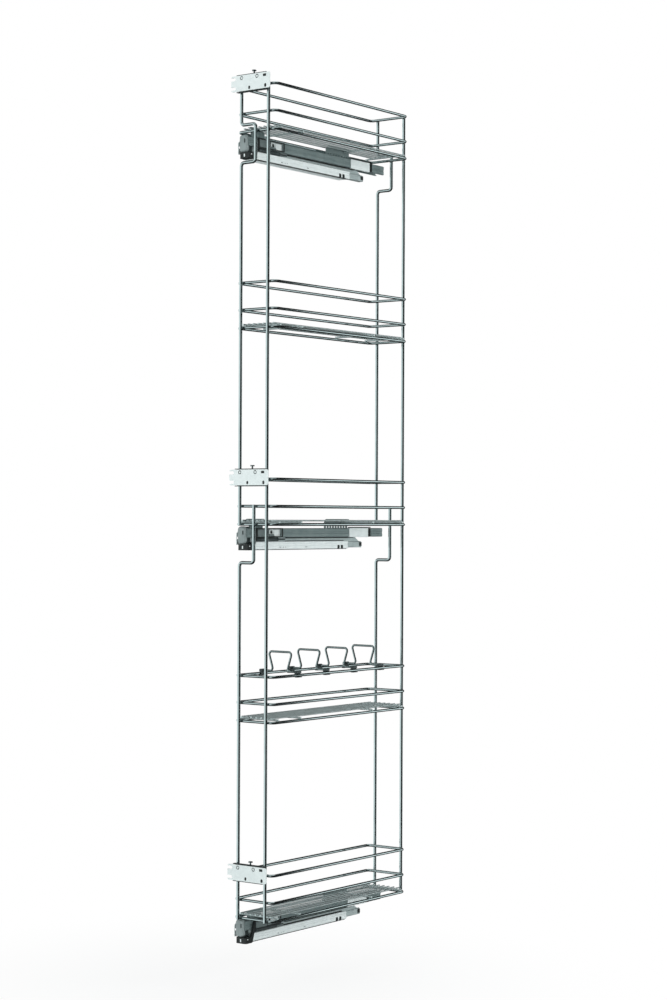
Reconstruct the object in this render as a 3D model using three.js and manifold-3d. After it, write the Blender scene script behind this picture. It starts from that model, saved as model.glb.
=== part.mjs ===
// Pull-out larder unit for a narrow tall cabinet: five wire baskets on one wire frame, which
// rolls out on three full-extension runners screwed to the left side of the cabinet. The door
// is screwed to three adjustable brackets on the frame's front uprights.
//
// Millimetres. +Z is up, +Y points to the back of the cabinet and the unit pulls out along -Y.
// x = 0 is the face of the cabinet side. y = 0 is the first row of fixing holes. z = 0 is a
// point on the bottom runner's fixing flange.
import * as THREE from 'three';
import { mergeVertices } from 'three/addons/utils/BufferGeometryUtils.js';
import Module from 'manifold-3d';

const wasm = await Module();
wasm.setup();

// ---------------------------------------------------------------- driving dimensions
// Cabinet
const cabinetClearWidth = 114;
const fixingRowSetback = 37;

// Gaps
const touchGap = 0.3;
const slidingGap = 0.5;
const weldSink = 0.3;

// Frame and baskets
const basketCount = 5;
const basketPitch = 400;
const bottomBaseRailHeight = 40;
const frameDepth = 476;
const uprightSpacing = 70;
const uprightDiameter = 7;
const basketWidth = 103;
const railDiameter = 6;
const railCornerRadius = 10;
const topRailRise = 92;
const middleRailRise = 37;

// Basket floor
const crossWireDiameter = 4;
const crossWireEndInset = 22;
const frontCrossWireSetback = 95;
const rearCrossWireSetback = 131;
const floorWireDiameter = 3.2;
const floorWireCount = 7;
const floorWirePitch = 13;
const floorWireEndGap = 3;

// Bends that carry the left uprights round the runners
const bypassOffset = 37;
const bypassBendRadius = 7;
const topBypassRise = 13;
const topBypassDrop = 64;
const middleBypassDrop = 78;

// Runner sections
const runnerInset = 7;
const runnerDepthBelowRail = 52;
const carrierWidth = 24;
const carrierHeight = 19;
const carrierDrop = 8;
const channelHeight = 16.5;
const runnerSheet = 1.5;
const runnerLip = 4;
const middleRailWall = 1.2;
const middleRailNeck = 8;
const flangeHeight = 38;

// Runner lengths, from the front uprights
const carrierStart = 26.7;
const carrierLength = 460;
const cabinetRailStart = 31.4;
const cabinetRailLength = 328;
const flangeLead = 16;
const flangeLeadHeight = 28;
const flangeTail = 54;
const middleRailStart = 33.4;
const middleRailLength = 383;

// Holes and notches in the runner
const fixingSlotWidth = 5.2;
const fixingSlotLength = 10;
const fixingSlotPitch = 96;
const fixingSlotCount = 4;
const fixingSlotRise = 12;
const originOnFlange = 12;
const lipNotchWidth = 7;
const lipNotchHeight = 6;
const lipNotchPitch = 12;
const lipNotchSetback = 34;
const carrierWindowLength = 42;
const carrierWindowHeight = 14;
const carrierWindowStart = 79.4;
const carrierSlitWidth = 5;
const carrierSlitSetback = 49.6;

// Hangers that tie the carrier rail to the basket floor
const hangerSheet = 2;
const hangerHookWidth = 10;
const hangerHookSheet = 1.5;
const frontHangerStart = 27;
const frontHangerLength = 44;
const frontHangerHookLead = 14;
const rearHangerStart = 282;
const rearHangerLength = 82;
const hangerSlotCount = 8;
const hangerSlotSize = 4.5;
const hangerSlotPitch = 9.5;
const stiffenerLength = 69;
const stiffenerSheet = 1;
const stiffenerMargin = 1.5;

// Front cap of the runner
const capWidth = 20;
const capThickness = 19;
const capHeight = 36;
const capTopDrop = 4;
const capCornerRadius = 8;
const capEdge = 1.5;
const capSlotWidth = 4;
const capSlotHeight = 11;
const capSlotDepth = 3;
const capSlotOffset = 4;

// Release lever of the runner
const leverSheet = 4;
const leverFrameStart = 39.4;
const leverFrameLength = 86;
const leverBar = 2.2;
const leverPivotBar = 4;
const gripHeight = 12.5;
const gripThickness = 18;
const gripWidth = 18;

// Soft-close damper of the runner
const damperDiameter = 7.5;
const damperLength = 70;
const damperStart = 48;
const damperRodDiameter = 3;
const damperRodLength = 24;

// Door bracket
const bracketRise = 95;
const clampWidth = 76;
const clampHeight = 36;
const clampSheet = 1.5;
const clampFlange = 8;
const clampPostSize = 5;
const clampPostSpacing = 36;
const clampPostRise = 6;
const clampStripWidth = 52;
const clampStripHeight = 19;
const clampStripSheet = 2;
const plateWidth = 100;
const plateHeight = 32;
const plateSheet = 2;
const plateCornerRadius = 4;
const doorSlotWidth = 6.5;
const doorSlotLength = 12;
const doorSlotSpacing = 19;
const plateHoleRow = 10.5;
const plateSquareHole = 5;
const plateSquareHoleOffset = 37;
const plateLongHoleWidth = 3;
const plateLongHoleHeight = 6;
const plateLongHoleOffsets = [-3, 39];

// Height screw of the door bracket
const screwOffset = 5;
const screwDiameter = 3.5;
const screwHeadDiameter = 9;
const screwHeadHeight = 2.5;
const screwStandoff = 7;
const screwSlotWidth = 1.2;
const screwSlotDepth = 1.2;
const screwHoleGap = 0.3;
const screwTipDrop = 16;
const lugWidth = 10;
const lugHeight = 8;
const lugRise = 8;

// Bottle dividers
const dividerCount = 4;
const dividerBasket = 4;
const firstDividerSetback = 91;
const dividerPitch = 96.5;
const dividerWireDiameter = 4.6;
const dividerTopWidth = 61;
const dividerFootWidth = 36;
const dividerHeight = 46;
const dividerBendRadius = 6;
const clipLength = 16;
const clipWall = 2;
const clipMouth = 3.4;

// Facets
const railCornerSteps = 2;
const holeCornerSteps = 1;
const bendSteps = 4;
const wireSides = 8;
const floorWireSides = 6;
const roundSides = 16;

// ---------------------------------------------------------------- materials
const finish = (color, roughness, metalness) =>
  new THREE.MeshStandardMaterial({ color, roughness, metalness });
const chromeWire = finish(0xc9d0d1, 0.18, 1);
const zincSheet = finish(0xd8dedd, 0.4, 0.8);
const greySheet = finish(0x93a1a1, 0.45, 0.6);
const greyPlastic = finish(0x7f8f8e, 0.5, 0);
const blackPlastic = finish(0x1d2323, 0.55, 0);
const steelScrew = finish(0x7b8586, 0.35, 1);

// ---------------------------------------------------------------- solids
function solidOf(geometry) {
  const bare = geometry.clone();
  bare.deleteAttribute('normal');
  bare.deleteAttribute('uv');
  const merged = mergeVertices(bare, 1e-4);
  return new wasm.Manifold(new wasm.Mesh({
    numProp: 3,
    vertProperties: new Float32Array(merged.attributes.position.array),
    triVerts: new Uint32Array(merged.index.array),
  }));
}

function geometryOf(solid) {
  const mesh = solid.getMesh();
  const geometry = new THREE.BufferGeometry();
  geometry.setAttribute('position', new THREE.BufferAttribute(new Float32Array(mesh.vertProperties), 3));
  geometry.setIndex(new THREE.BufferAttribute(new Uint32Array(mesh.triVerts), 1));
  return geometry;
}

const join = (...geometries) =>
  geometryOf(geometries.map(solidOf).reduce((whole, next) => whole.add(next)));
const cut = (body, ...tools) =>
  geometryOf(tools.map(solidOf).reduce((whole, tool) => whole.subtract(tool), solidOf(body)));

// A box given by its lowest and highest corners
function blockBetween(low, high) {
  const size = high.map((value, axis) => value - low[axis]);
  const centre = high.map((value, axis) => (value + low[axis]) / 2);
  return new THREE.BoxGeometry(...size).translate(...centre);
}

const outline = (points) => new THREE.Shape(points.map(([x, y]) => new THREE.Vector2(x, y)));
const plainExtrusion = (shape, depth, curveSegments) =>
  new THREE.ExtrudeGeometry(shape, { depth, bevelEnabled: false, curveSegments });

// A section drawn in x and z, run along y
const alongY = (section, start, end, curveSegments = holeCornerSteps) =>
  plainExtrusion(section, end - start, curveSegments).rotateX(Math.PI / 2).translate(0, end, 0);
// A section drawn in y and z, run along x
const alongX = (section, start, end) =>
  plainExtrusion(section, end - start, holeCornerSteps)
    .rotateX(Math.PI / 2).rotateZ(Math.PI / 2).translate(start, 0, 0);

// Round sections are drawn with their flats, not their corners, at the true radius
const cornerRadius = (diameter, sides) => diameter / 2 / Math.cos(Math.PI / sides);

// A rod that starts at a point and runs along one axis
function rod(axis, start, length, diameter, sides) {
  const radius = cornerRadius(diameter, sides);
  const turned = new THREE.CylinderGeometry(radius, radius, length, sides, 1, false, Math.PI / sides);
  if (axis === 'x') turned.rotateZ(Math.PI / 2);
  if (axis === 'z') turned.rotateX(Math.PI / 2);
  const middle = new THREE.Vector3(...start);
  middle[axis] += length / 2;
  return turned.translate(middle.x, middle.y, middle.z);
}

// A rectangle with round corners, as an outline or as the rim of a hole
function roundedRectangle(Outline, centreX, centreY, width, height, radius) {
  const [right, top] = [width / 2 - radius, height / 2 - radius];
  const shape = new Outline();
  shape.absarc(centreX + right, centreY - top, radius, -Math.PI / 2, 0);
  shape.absarc(centreX + right, centreY + top, radius, 0, Math.PI / 2);
  shape.absarc(centreX - right, centreY + top, radius, Math.PI / 2, Math.PI);
  shape.absarc(centreX - right, centreY - top, radius, Math.PI, 1.5 * Math.PI);
  shape.closePath();
  return shape;
}

// The middle line of a bent wire: straight runs with round bends, held as the few points that
// the shape needs and the direction of the wire at each of them
class BentLine extends THREE.Curve {
  constructor(corners, bendRadius) {
    super();
    this.places = [corners[0]];
    this.directions = [corners[1].clone().sub(corners[0]).normalize()];
    for (let index = 1; index < corners.length - 1; index += 1) {
      this.addBend(corners[index - 1], corners[index], corners[index + 1], bendRadius);
    }
    this.places.push(corners.at(-1));
    this.directions.push(corners.at(-1).clone().sub(corners.at(-2)).normalize());
  }

  addBend(before, corner, after, radius) {
    const arriving = corner.clone().sub(before).normalize();
    const leaving = after.clone().sub(corner).normalize();
    const turn = arriving.angleTo(leaving);
    const inset = radius * Math.tan(turn / 2);
    const start = corner.clone().addScaledVector(arriving, -inset);
    const inward = leaving.clone().addScaledVector(arriving, -leaving.dot(arriving)).normalize();
    for (let step = 0; step <= bendSteps; step += 1) {
      const angle = turn * step / bendSteps;
      this.places.push(start.clone()
        .addScaledVector(arriving, radius * Math.sin(angle))
        .addScaledVector(inward, radius * (1 - Math.cos(angle))));
      this.directions.push(arriving.clone().multiplyScalar(Math.cos(angle))
        .addScaledVector(inward, Math.sin(angle)));
    }
  }

  get steps() {
    return this.places.length - 1;
  }

  getSpacedPoints() {
    return this.places;
  }

  getTangentAt(fraction, target = new THREE.Vector3()) {
    return target.copy(this.directions[Math.round(fraction * this.steps)]);
  }
}

function bentWire(corners, diameter, bendRadius) {
  const path = new BentLine(corners, bendRadius);
  const radius = cornerRadius(diameter, wireSides);
  const section = outline(Array.from({ length: wireSides }, (_, side) => {
    const angle = 2 * Math.PI * (side + 0.5) / wireSides;
    return [radius * Math.cos(angle), radius * Math.sin(angle)];
  }));
  return new THREE.ExtrudeGeometry(section, { steps: path.steps, extrudePath: path });
}

// ---------------------------------------------------------------- the assembly
const unit = new THREE.Group();
function addPiece(name, geometry, material, parent = unit) {
  const piece = new THREE.Mesh(geometry, material);
  piece.name = name;
  parent.add(piece);
  return piece;
}

// ---------------------------------------------------------------- places in the unit
const middleX = cabinetClearWidth / 2;
const leftUprightX = middleX - uprightSpacing / 2;
const rightUprightX = middleX + uprightSpacing / 2;
const plateFrontY = -fixingRowSetback;
const clampFrontY = plateFrontY + plateSheet + touchGap;
const clampWebFrontY = clampFrontY + clampFlange;
const frontUprightY = clampWebFrontY + clampSheet + touchGap + uprightDiameter / 2;
const rearUprightY = frontUprightY + frameDepth;
const railToUpright = (uprightDiameter + railDiameter) / 2 + touchGap;
const railFrontY = frontUprightY + railToUpright;
const railRearY = rearUprightY - railToUpright;
const railLeftX = middleX - (basketWidth - railDiameter) / 2;
const railRightX = middleX + (basketWidth - railDiameter) / 2;
const baseRailZ = (basket) => bottomBaseRailHeight + (basketCount - basket) * basketPitch;

// ---------------------------------------------------------------- baskets
// A rail is one wire ring with a flat-sided round section
function railRing() {
  const flat = railDiameter * Math.tan(Math.PI / 8);
  const bevel = (railDiameter - flat) / 2;
  const [width, depth] = [railRightX - railLeftX, railRearY - railFrontY];
  const centreY = (railRearY + railFrontY) / 2;
  const ring = roundedRectangle(
    THREE.Shape, middleX, centreY, width + flat, depth + flat, railCornerRadius + flat / 2);
  ring.holes.push(roundedRectangle(
    THREE.Path, middleX, centreY, width - flat, depth - flat, railCornerRadius - flat / 2));
  return new THREE.ExtrudeGeometry(ring, {
    depth: flat, bevelThickness: bevel, bevelSize: bevel, bevelSegments: 1, curveSegments: railCornerSteps,
  }).translate(0, 0, -flat / 2);
}

// Cross wires lie on the base rail, and the floor wires lie along them
const crossWireZ = (railDiameter + crossWireDiameter) / 2 - weldSink;
const floorWireZ = crossWireZ + (crossWireDiameter + floorWireDiameter) / 2 - weldSink;
const floorWireX = (index) => middleX + (index - (floorWireCount - 1) / 2) * floorWirePitch;
const crossWirePlaces = [
  frontUprightY + crossWireEndInset,
  frontUprightY + frontCrossWireSetback,
  rearUprightY - rearCrossWireSetback,
  rearUprightY - crossWireEndInset,
];

function basketFloor() {
  const crossWireLength = railRightX - railLeftX + railDiameter;
  const crossWires = crossWirePlaces.map((y) => rod(
    'x', [middleX - crossWireLength / 2, y, crossWireZ], crossWireLength, crossWireDiameter, floorWireSides));
  const floorStartY = railFrontY + railDiameter / 2 + floorWireEndGap;
  const floorEndY = railRearY - railDiameter / 2 - floorWireEndGap;
  const floorWires = Array.from({ length: floorWireCount }, (_, index) => rod(
    'y', [floorWireX(index), floorStartY, floorWireZ], floorEndY - floorStartY, floorWireDiameter, floorWireSides));
  return join(railRing(), ...crossWires, ...floorWires);
}

for (let basket = 1; basket <= basketCount; basket += 1) {
  const level = new THREE.Group();
  level.position.z = baseRailZ(basket);
  unit.add(level);
  addPiece(`basket_${basket}_top_rail`, railRing(), chromeWire, level).position.z = topRailRise;
  addPiece(`basket_${basket}_middle_rail`, railRing(), chromeWire, level).position.z = middleRailRise;
  addPiece(`basket_${basket}_floor`, basketFloor(), chromeWire, level);
}

// ---------------------------------------------------------------- uprights
// The right uprights are straight. Each left upright steps inwards to pass the top runner, and
// ends on the middle basket, where a second wire passes the middle runner and goes on down.
const topBasket = 1;
const middleBasket = Math.ceil(basketCount / 2);
const runnerBaskets = { top: topBasket, middle: middleBasket, bottom: basketCount };
const railEnd = railDiameter / 2;
const frameTopZ = baseRailZ(topBasket) + topRailRise + railEnd;
const frameBottomZ = baseRailZ(basketCount) - railEnd;
const bypassX = leftUprightX + bypassOffset;

for (const [place, y] of [['front', frontUprightY], ['rear', rearUprightY]]) {
  const at = (x, z) => new THREE.Vector3(x, y, z);
  addPiece(`${place}_right_upright`, rod(
    'z', [rightUprightX, y, frameBottomZ], frameTopZ - frameBottomZ, uprightDiameter, roundSides), chromeWire);
  const topRailZ = baseRailZ(topBasket);
  addPiece(`${place}_left_upper_upright`, bentWire([
    at(leftUprightX, frameTopZ),
    at(leftUprightX, topRailZ + topBypassRise),
    at(bypassX, topRailZ + topBypassRise),
    at(bypassX, topRailZ - topBypassDrop),
    at(leftUprightX, topRailZ - topBypassDrop),
    at(leftUprightX, baseRailZ(middleBasket) - railEnd),
  ], uprightDiameter, bypassBendRadius), chromeWire);
  addPiece(`${place}_left_lower_upright`, bentWire([
    at(bypassX, baseRailZ(middleBasket) + middleRailRise + railEnd),
    at(bypassX, baseRailZ(middleBasket) - middleBypassDrop),
    at(leftUprightX, baseRailZ(middleBasket) - middleBypassDrop),
    at(leftUprightX, frameBottomZ),
  ], uprightDiameter, bypassBendRadius), chromeWire);
}

// ---------------------------------------------------------------- runners
// Heights in a runner are measured from the middle of the base rail above it
const carrierLeft = runnerInset;
const carrierRight = runnerInset + carrierWidth;
const carrierTop = -carrierDrop;
const carrierBottom = carrierTop - carrierHeight;
const channelFloor = -runnerDepthBelowRail;
const channelTop = channelFloor + channelHeight;
const runnerCentreX = (carrierLeft + carrierRight) / 2;
const fromFront = (distance) => frontUprightY + distance;

// Fixed to the cabinet side: a flange, a floor and a channel with lips turned inwards. The
// flange reaches forward to its first fixing hole
function cabinetRail() {
  const flangeTop = channelFloor + flangeHeight;
  const section = outline([
    [0, channelFloor],
    [carrierRight, channelFloor],
    [carrierRight, channelTop],
    [carrierRight - runnerLip, channelTop],
    [carrierRight - runnerLip, channelTop - runnerSheet],
    [carrierRight - runnerSheet, channelTop - runnerSheet],
    [carrierRight - runnerSheet, channelFloor + runnerSheet],
    [carrierLeft + runnerSheet, channelFloor + runnerSheet],
    [carrierLeft + runnerSheet, channelTop - runnerSheet],
    [carrierLeft + runnerLip, channelTop - runnerSheet],
    [carrierLeft + runnerLip, channelTop],
    [carrierLeft, channelTop],
    [carrierLeft, channelFloor + runnerSheet],
    [runnerSheet, channelFloor + runnerSheet],
    [runnerSheet, flangeTop],
    [0, flangeTop],
  ]);
  const startY = fromFront(cabinetRailStart);
  const endY = startY + cabinetRailLength;
  const tail = blockBetween(
    [0, endY - runnerSheet, channelTop],
    [runnerSheet, endY + flangeTail, flangeTop]);
  const slotZ = channelFloor + originOnFlange + fixingSlotRise;
  const lead = blockBetween(
    [0, startY - flangeLead, slotZ - flangeLeadHeight / 2],
    [runnerSheet, startY + runnerSheet, slotZ + flangeLeadHeight / 2]);
  const slots = Array.from({ length: fixingSlotCount }, (_, index) => alongX(
    roundedRectangle(THREE.Shape, index * fixingSlotPitch, slotZ,
      fixingSlotLength, fixingSlotWidth, fixingSlotWidth / 2 - touchGap),
    -runnerSheet, 2 * runnerSheet));
  const notches = [0, 1].map((index) => {
    const centreY = endY - lipNotchSetback + index * lipNotchPitch;
    return blockBetween(
      [carrierRight - 2 * runnerSheet, centreY - lipNotchWidth / 2, channelFloor - runnerSheet],
      [carrierRight + runnerSheet, centreY + lipNotchWidth / 2, channelFloor + lipNotchHeight]);
  });
  return cut(join(alongY(section, startY, endY), lead, tail), ...slots, ...notches);
}

// Between the two: a hollow section whose heads run in the channel and in the carrier rail
function middleRail() {
  const headLeft = carrierLeft + runnerSheet + slidingGap;
  const headRight = carrierRight - runnerSheet - slidingGap;
  const headOutline = (wall) => outline([
    [headLeft + wall, channelFloor + runnerSheet + slidingGap + wall],
    [headRight - wall, channelFloor + runnerSheet + slidingGap + wall],
    [headRight - wall, channelTop - runnerSheet - slidingGap - wall],
    [runnerCentreX + middleRailNeck / 2 - wall, channelTop - runnerSheet - slidingGap - wall],
    [runnerCentreX + middleRailNeck / 2 - wall, carrierBottom + runnerSheet + slidingGap + wall],
    [headRight - wall, carrierBottom + runnerSheet + slidingGap + wall],
    [headRight - wall, carrierTop - runnerSheet - slidingGap - wall],
    [headLeft + wall, carrierTop - runnerSheet - slidingGap - wall],
    [headLeft + wall, carrierBottom + runnerSheet + slidingGap + wall],
    [runnerCentreX - middleRailNeck / 2 + wall, carrierBottom + runnerSheet + slidingGap + wall],
    [runnerCentreX - middleRailNeck / 2 + wall, channelTop - runnerSheet - slidingGap - wall],
    [headLeft + wall, channelTop - runnerSheet - slidingGap - wall],
  ]);
  const section = headOutline(0);
  section.holes.push(headOutline(middleRailWall));
  const startY = fromFront(middleRailStart);
  return alongY(section, startY, startY + middleRailLength);
}

// A hanger stands on the carrier rail between two floor wires and hooks over one of them. Its
// hook can start in front of its plate, and it has a window for each cross wire that it meets
const hangerX = (floorWireX(0) + floorWireX(1)) / 2;
function hanger(startY, length, hookLead) {
  const hookBottom = floorWireZ + floorWireDiameter / 2 + touchGap;
  const room = crossWireDiameter / 2 + touchGap;
  const windows = crossWirePlaces.map((y) => blockBetween(
    [hangerX - hangerSheet, y - room, crossWireZ - room],
    [hangerX + hangerSheet, y + room, crossWireZ + room]));
  return cut(
    join(
      blockBetween(
        [hangerX - hangerSheet / 2, startY, carrierTop - runnerSheet / 2],
        [hangerX + hangerSheet / 2, startY + length, hookBottom + hangerHookSheet]),
      blockBetween(
        [hangerX - hangerSheet / 2, startY - hookLead, hookBottom],
        [hangerX - hangerSheet / 2 + hangerHookWidth, startY + length, hookBottom + hangerHookSheet])),
    ...windows);
}

// Fixed under the basket floor: an inverted channel with its hangers
function carrierRail() {
  const section = outline([
    [carrierLeft, carrierBottom],
    [carrierLeft + runnerLip, carrierBottom],
    [carrierLeft + runnerLip, carrierBottom + runnerSheet],
    [carrierLeft + runnerSheet, carrierBottom + runnerSheet],
    [carrierLeft + runnerSheet, carrierTop - runnerSheet],
    [carrierRight - runnerSheet, carrierTop - runnerSheet],
    [carrierRight - runnerSheet, carrierBottom + runnerSheet],
    [carrierRight - runnerLip, carrierBottom + runnerSheet],
    [carrierRight - runnerLip, carrierBottom],
    [carrierRight, carrierBottom],
    [carrierRight, carrierTop],
    [carrierLeft, carrierTop],
  ]);
  const startY = fromFront(carrierStart);
  const endY = startY + carrierLength;
  const slitY = endY - carrierSlitSetback;
  const stiffenerEndY = slitY - carrierSlitWidth;
  const stiffener = blockBetween(
    [carrierRight - runnerSheet / 2, stiffenerEndY - stiffenerLength, carrierBottom + stiffenerMargin],
    [carrierRight + stiffenerSheet, stiffenerEndY, carrierTop - stiffenerMargin]);
  const centreZ = (carrierTop + carrierBottom) / 2;
  const sideCut = (cutStart, length, height) => blockBetween(
    [carrierRight - 2 * runnerSheet, cutStart, centreZ - height / 2],
    [carrierRight + runnerSheet, cutStart + length, centreZ + height / 2]);
  const slotsZ = (carrierTop - railDiameter / 2) / 2;
  const slotsCentreY = fromFront(rearHangerStart) + rearHangerLength / 2;
  const hangerSlots = Array.from({ length: hangerSlotCount }, (_, index) => {
    const centreY = slotsCentreY + (index - (hangerSlotCount - 1) / 2) * hangerSlotPitch;
    return blockBetween(
      [hangerX - hangerSheet, centreY - hangerSlotSize / 2, slotsZ - hangerSlotSize / 2],
      [hangerX + hangerSheet, centreY + hangerSlotSize / 2, slotsZ + hangerSlotSize / 2]);
  });
  return cut(
    join(
      alongY(section, startY, endY),
      hanger(fromFront(frontHangerStart), frontHangerLength, frontHangerHookLead),
      hanger(fromFront(rearHangerStart), rearHangerLength, 0),
      stiffener),
    sideCut(fromFront(carrierWindowStart), carrierWindowLength, carrierWindowHeight),
    sideCut(slitY, carrierSlitWidth, carrierWindowHeight),
    ...hangerSlots);
}

// A moulded shield in front of the carrier rail, with one upright slot
const capRightX = runnerCentreX + capWidth / 2;
const capBackY = fromFront(carrierStart) - touchGap;
const capBottom = -capTopDrop - capHeight;
function frontCap() {
  const centreZ = -capTopDrop - capHeight / 2;
  const face = roundedRectangle(
    THREE.Shape, runnerCentreX, centreZ, capWidth - 2 * capEdge, capHeight - 2 * capEdge, capCornerRadius - capEdge);
  const body = new THREE.ExtrudeGeometry(face, {
    depth: capThickness - 2 * capEdge,
    bevelThickness: capEdge,
    bevelSize: capEdge,
    bevelSegments: 1,
    curveSegments: railCornerSteps,
  }).rotateX(Math.PI / 2).translate(0, capBackY - capEdge, 0);
  const slotX = runnerCentreX + capSlotOffset;
  const slot = blockBetween(
    [slotX - capSlotWidth / 2, capBackY - capThickness - capEdge, centreZ],
    [slotX + capSlotWidth / 2, capBackY - capThickness + capSlotDepth, centreZ + capSlotHeight]);
  return cut(body, slot);
}

// One moulding: a finger grip under the cap, and a frame beside the carrier rail that swings
// outwards on a pin in its rear bar
const leverLeftX = carrierRight + stiffenerSheet;
const leverRightX = leverLeftX + leverSheet;
const gripTop = capBottom - slidingGap;
const gripBottom = gripTop - gripHeight;
const gripFrontY = capBackY - gripThickness;
function releaseLever() {
  const frameStartY = fromFront(leverFrameStart);
  const frameEndY = frameStartY + leverFrameLength;
  const frameTop = carrierTop + slidingGap;
  const profile = outline([
    [gripFrontY, gripBottom],
    [capBackY + leverSheet, gripBottom],
    [frameStartY, carrierBottom],
    [frameEndY, carrierBottom],
    [frameEndY, frameTop],
    [frameStartY, frameTop],
    [capBackY, gripTop],
    [gripFrontY, gripTop],
  ]);
  profile.holes.push(outline([
    [fromFront(carrierWindowStart), carrierBottom + leverBar],
    [frameEndY - leverPivotBar, carrierBottom + leverBar],
    [frameEndY - leverPivotBar, frameTop - leverBar],
    [fromFront(carrierWindowStart), frameTop - leverBar],
  ]));
  const grip = blockBetween(
    [runnerCentreX - gripWidth / 2, gripFrontY, gripBottom],
    [leverLeftX + leverSheet / 2, capBackY, gripTop]);
  return join(alongX(profile, leverLeftX, leverRightX), grip);
}

// A cylinder with its rod, slung under the carrier rail beside the middle rail's neck
function damper() {
  const centreX = runnerCentreX + middleRailNeck / 2 + 2 * slidingGap + damperDiameter / 2;
  const centreZ = carrierBottom - touchGap - damperDiameter / 2;
  const radius = damperDiameter / 2;
  const profile = [
    [0, 0],
    [radius - capEdge, 0],
    [radius, capEdge],
    [radius, damperLength],
    [damperRodDiameter / 2, damperLength],
    [damperRodDiameter / 2, damperLength + damperRodLength],
    [0, damperLength + damperRodLength],
  ].map(([r, along]) => new THREE.Vector2(r, along));
  return new THREE.LatheGeometry(profile, roundSides).translate(centreX, fromFront(damperStart), centreZ);
}

for (const [name, basket] of Object.entries(runnerBaskets)) {
  const level = new THREE.Group();
  level.position.z = baseRailZ(basket);
  unit.add(level);
  addPiece(`${name}_cabinet_rail`, cabinetRail(), zincSheet, level);
  addPiece(`${name}_middle_rail`, middleRail(), zincSheet, level);
  addPiece(`${name}_carrier_rail`, carrierRail(), greySheet, level);
  addPiece(`${name}_front_cap`, frontCap(), greyPlastic, level);
  addPiece(`${name}_release_lever`, releaseLever(), blackPlastic, level);
  addPiece(`${name}_damper`, damper(), blackPlastic, level);
}

// ---------------------------------------------------------------- door brackets
// Heights in a bracket are measured from its own middle
const clampHalf = clampHeight / 2;
const screwX = middleX + screwOffset;
const screwY = (clampFrontY + clampWebFrontY) / 2;
const screwHoleDiameter = screwDiameter + 2 * screwHoleGap;

// A channel across the front uprights, held from behind the top rail by a strip on two posts
function doorClamp() {
  const backY = clampWebFrontY + clampSheet;
  const section = outline([
    [clampFrontY, clampHalf],
    [clampFrontY, clampHalf - clampSheet],
    [clampWebFrontY, clampHalf - clampSheet],
    [clampWebFrontY, clampSheet - clampHalf],
    [clampFrontY, clampSheet - clampHalf],
    [clampFrontY, -clampHalf],
    [backY, -clampHalf],
    [backY, clampHalf],
  ]);
  const channel = alongX(section, middleX - clampWidth / 2, middleX + clampWidth / 2);
  const stripFrontY = railFrontY + railDiameter / 2 + touchGap;
  const posts = [-1, 1].map((side) => {
    const centreX = middleX + side * clampPostSpacing / 2;
    return blockBetween(
      [centreX - clampPostSize / 2, backY - clampSheet / 2, clampPostRise - clampPostSize / 2],
      [centreX + clampPostSize / 2, stripFrontY + clampStripSheet / 2, clampPostRise + clampPostSize / 2]);
  });
  const strip = blockBetween(
    [middleX - clampStripWidth / 2, stripFrontY, -clampStripHeight / 2],
    [middleX + clampStripWidth / 2, stripFrontY + clampStripSheet, clampStripHeight / 2]);
  const screwHole = rod(
    'z', [screwX, screwY, clampHalf - 2 * clampSheet], 3 * clampSheet, screwHoleDiameter, roundSides);
  return cut(join(channel, ...posts, strip), screwHole);
}

// The plate that the door is screwed to, with a threaded lug behind it for the height screw
function doorPlate() {
  const plate = alongY(
    roundedRectangle(THREE.Shape, middleX, 0, plateWidth, plateHeight, plateCornerRadius),
    plateFrontY, plateFrontY + plateSheet);
  const lugBackY = clampWebFrontY - slidingGap;
  const lug = blockBetween(
    [screwX - lugWidth / 2, plateFrontY + plateSheet / 2, lugRise - lugHeight / 2],
    [screwX + lugWidth / 2, lugBackY, lugRise + lugHeight / 2]);
  const through = (section) => alongY(section, plateFrontY - plateSheet, plateFrontY + 2 * plateSheet);
  const leftEdge = middleX - plateWidth / 2;
  const slots = [-1, 1].map((side) => through(roundedRectangle(
    THREE.Shape, leftEdge, side * doorSlotSpacing / 2,
    2 * doorSlotLength, doorSlotWidth, doorSlotWidth / 2 - touchGap)));
  const squareHole = through(roundedRectangle(
    THREE.Shape, middleX + plateSquareHoleOffset, plateHoleRow, plateSquareHole, plateSquareHole, touchGap));
  const longHoles = plateLongHoleOffsets.map((offset) => through(roundedRectangle(
    THREE.Shape, middleX + offset, -plateHoleRow,
    plateLongHoleWidth, plateLongHoleHeight, plateLongHoleWidth / 2 - touchGap)));
  const thread = rod(
    'z', [screwX, screwY, lugRise - lugHeight], 2 * lugHeight, screwHoleDiameter, roundSides);
  return cut(join(plate, lug), ...slots, squareHole, ...longHoles, thread);
}

// A flat-headed screw that hangs in the channel's top flange and turns in the plate's lug
function heightScrew() {
  const top = clampHalf + screwStandoff;
  const neck = top - screwHeadHeight;
  const profile = [
    [0, clampHalf - screwTipDrop],
    [screwDiameter / 2, clampHalf - screwTipDrop],
    [screwDiameter / 2, neck],
    [screwHeadDiameter / 2, neck],
    [screwHeadDiameter / 2, top],
    [0, top],
  ].map(([r, z]) => new THREE.Vector2(r, z));
  const body = new THREE.LatheGeometry(profile, roundSides).rotateX(Math.PI / 2);
  const slot = blockBetween(
    [-screwHeadDiameter, -screwSlotWidth / 2, top - screwSlotDepth],
    [screwHeadDiameter, screwSlotWidth / 2, top + screwSlotDepth]);
  return cut(body, slot).translate(screwX, screwY, 0);
}

for (const [name, basket] of Object.entries(runnerBaskets)) {
  const level = new THREE.Group();
  level.position.z = baseRailZ(basket) + bracketRise;
  unit.add(level);
  addPiece(`${name}_door_clamp`, doorClamp(), zincSheet, level);
  addPiece(`${name}_door_plate`, doorPlate(), zincSheet, level);
  addPiece(`${name}_height_screw`, heightScrew(), steelScrew, level);
}

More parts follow.
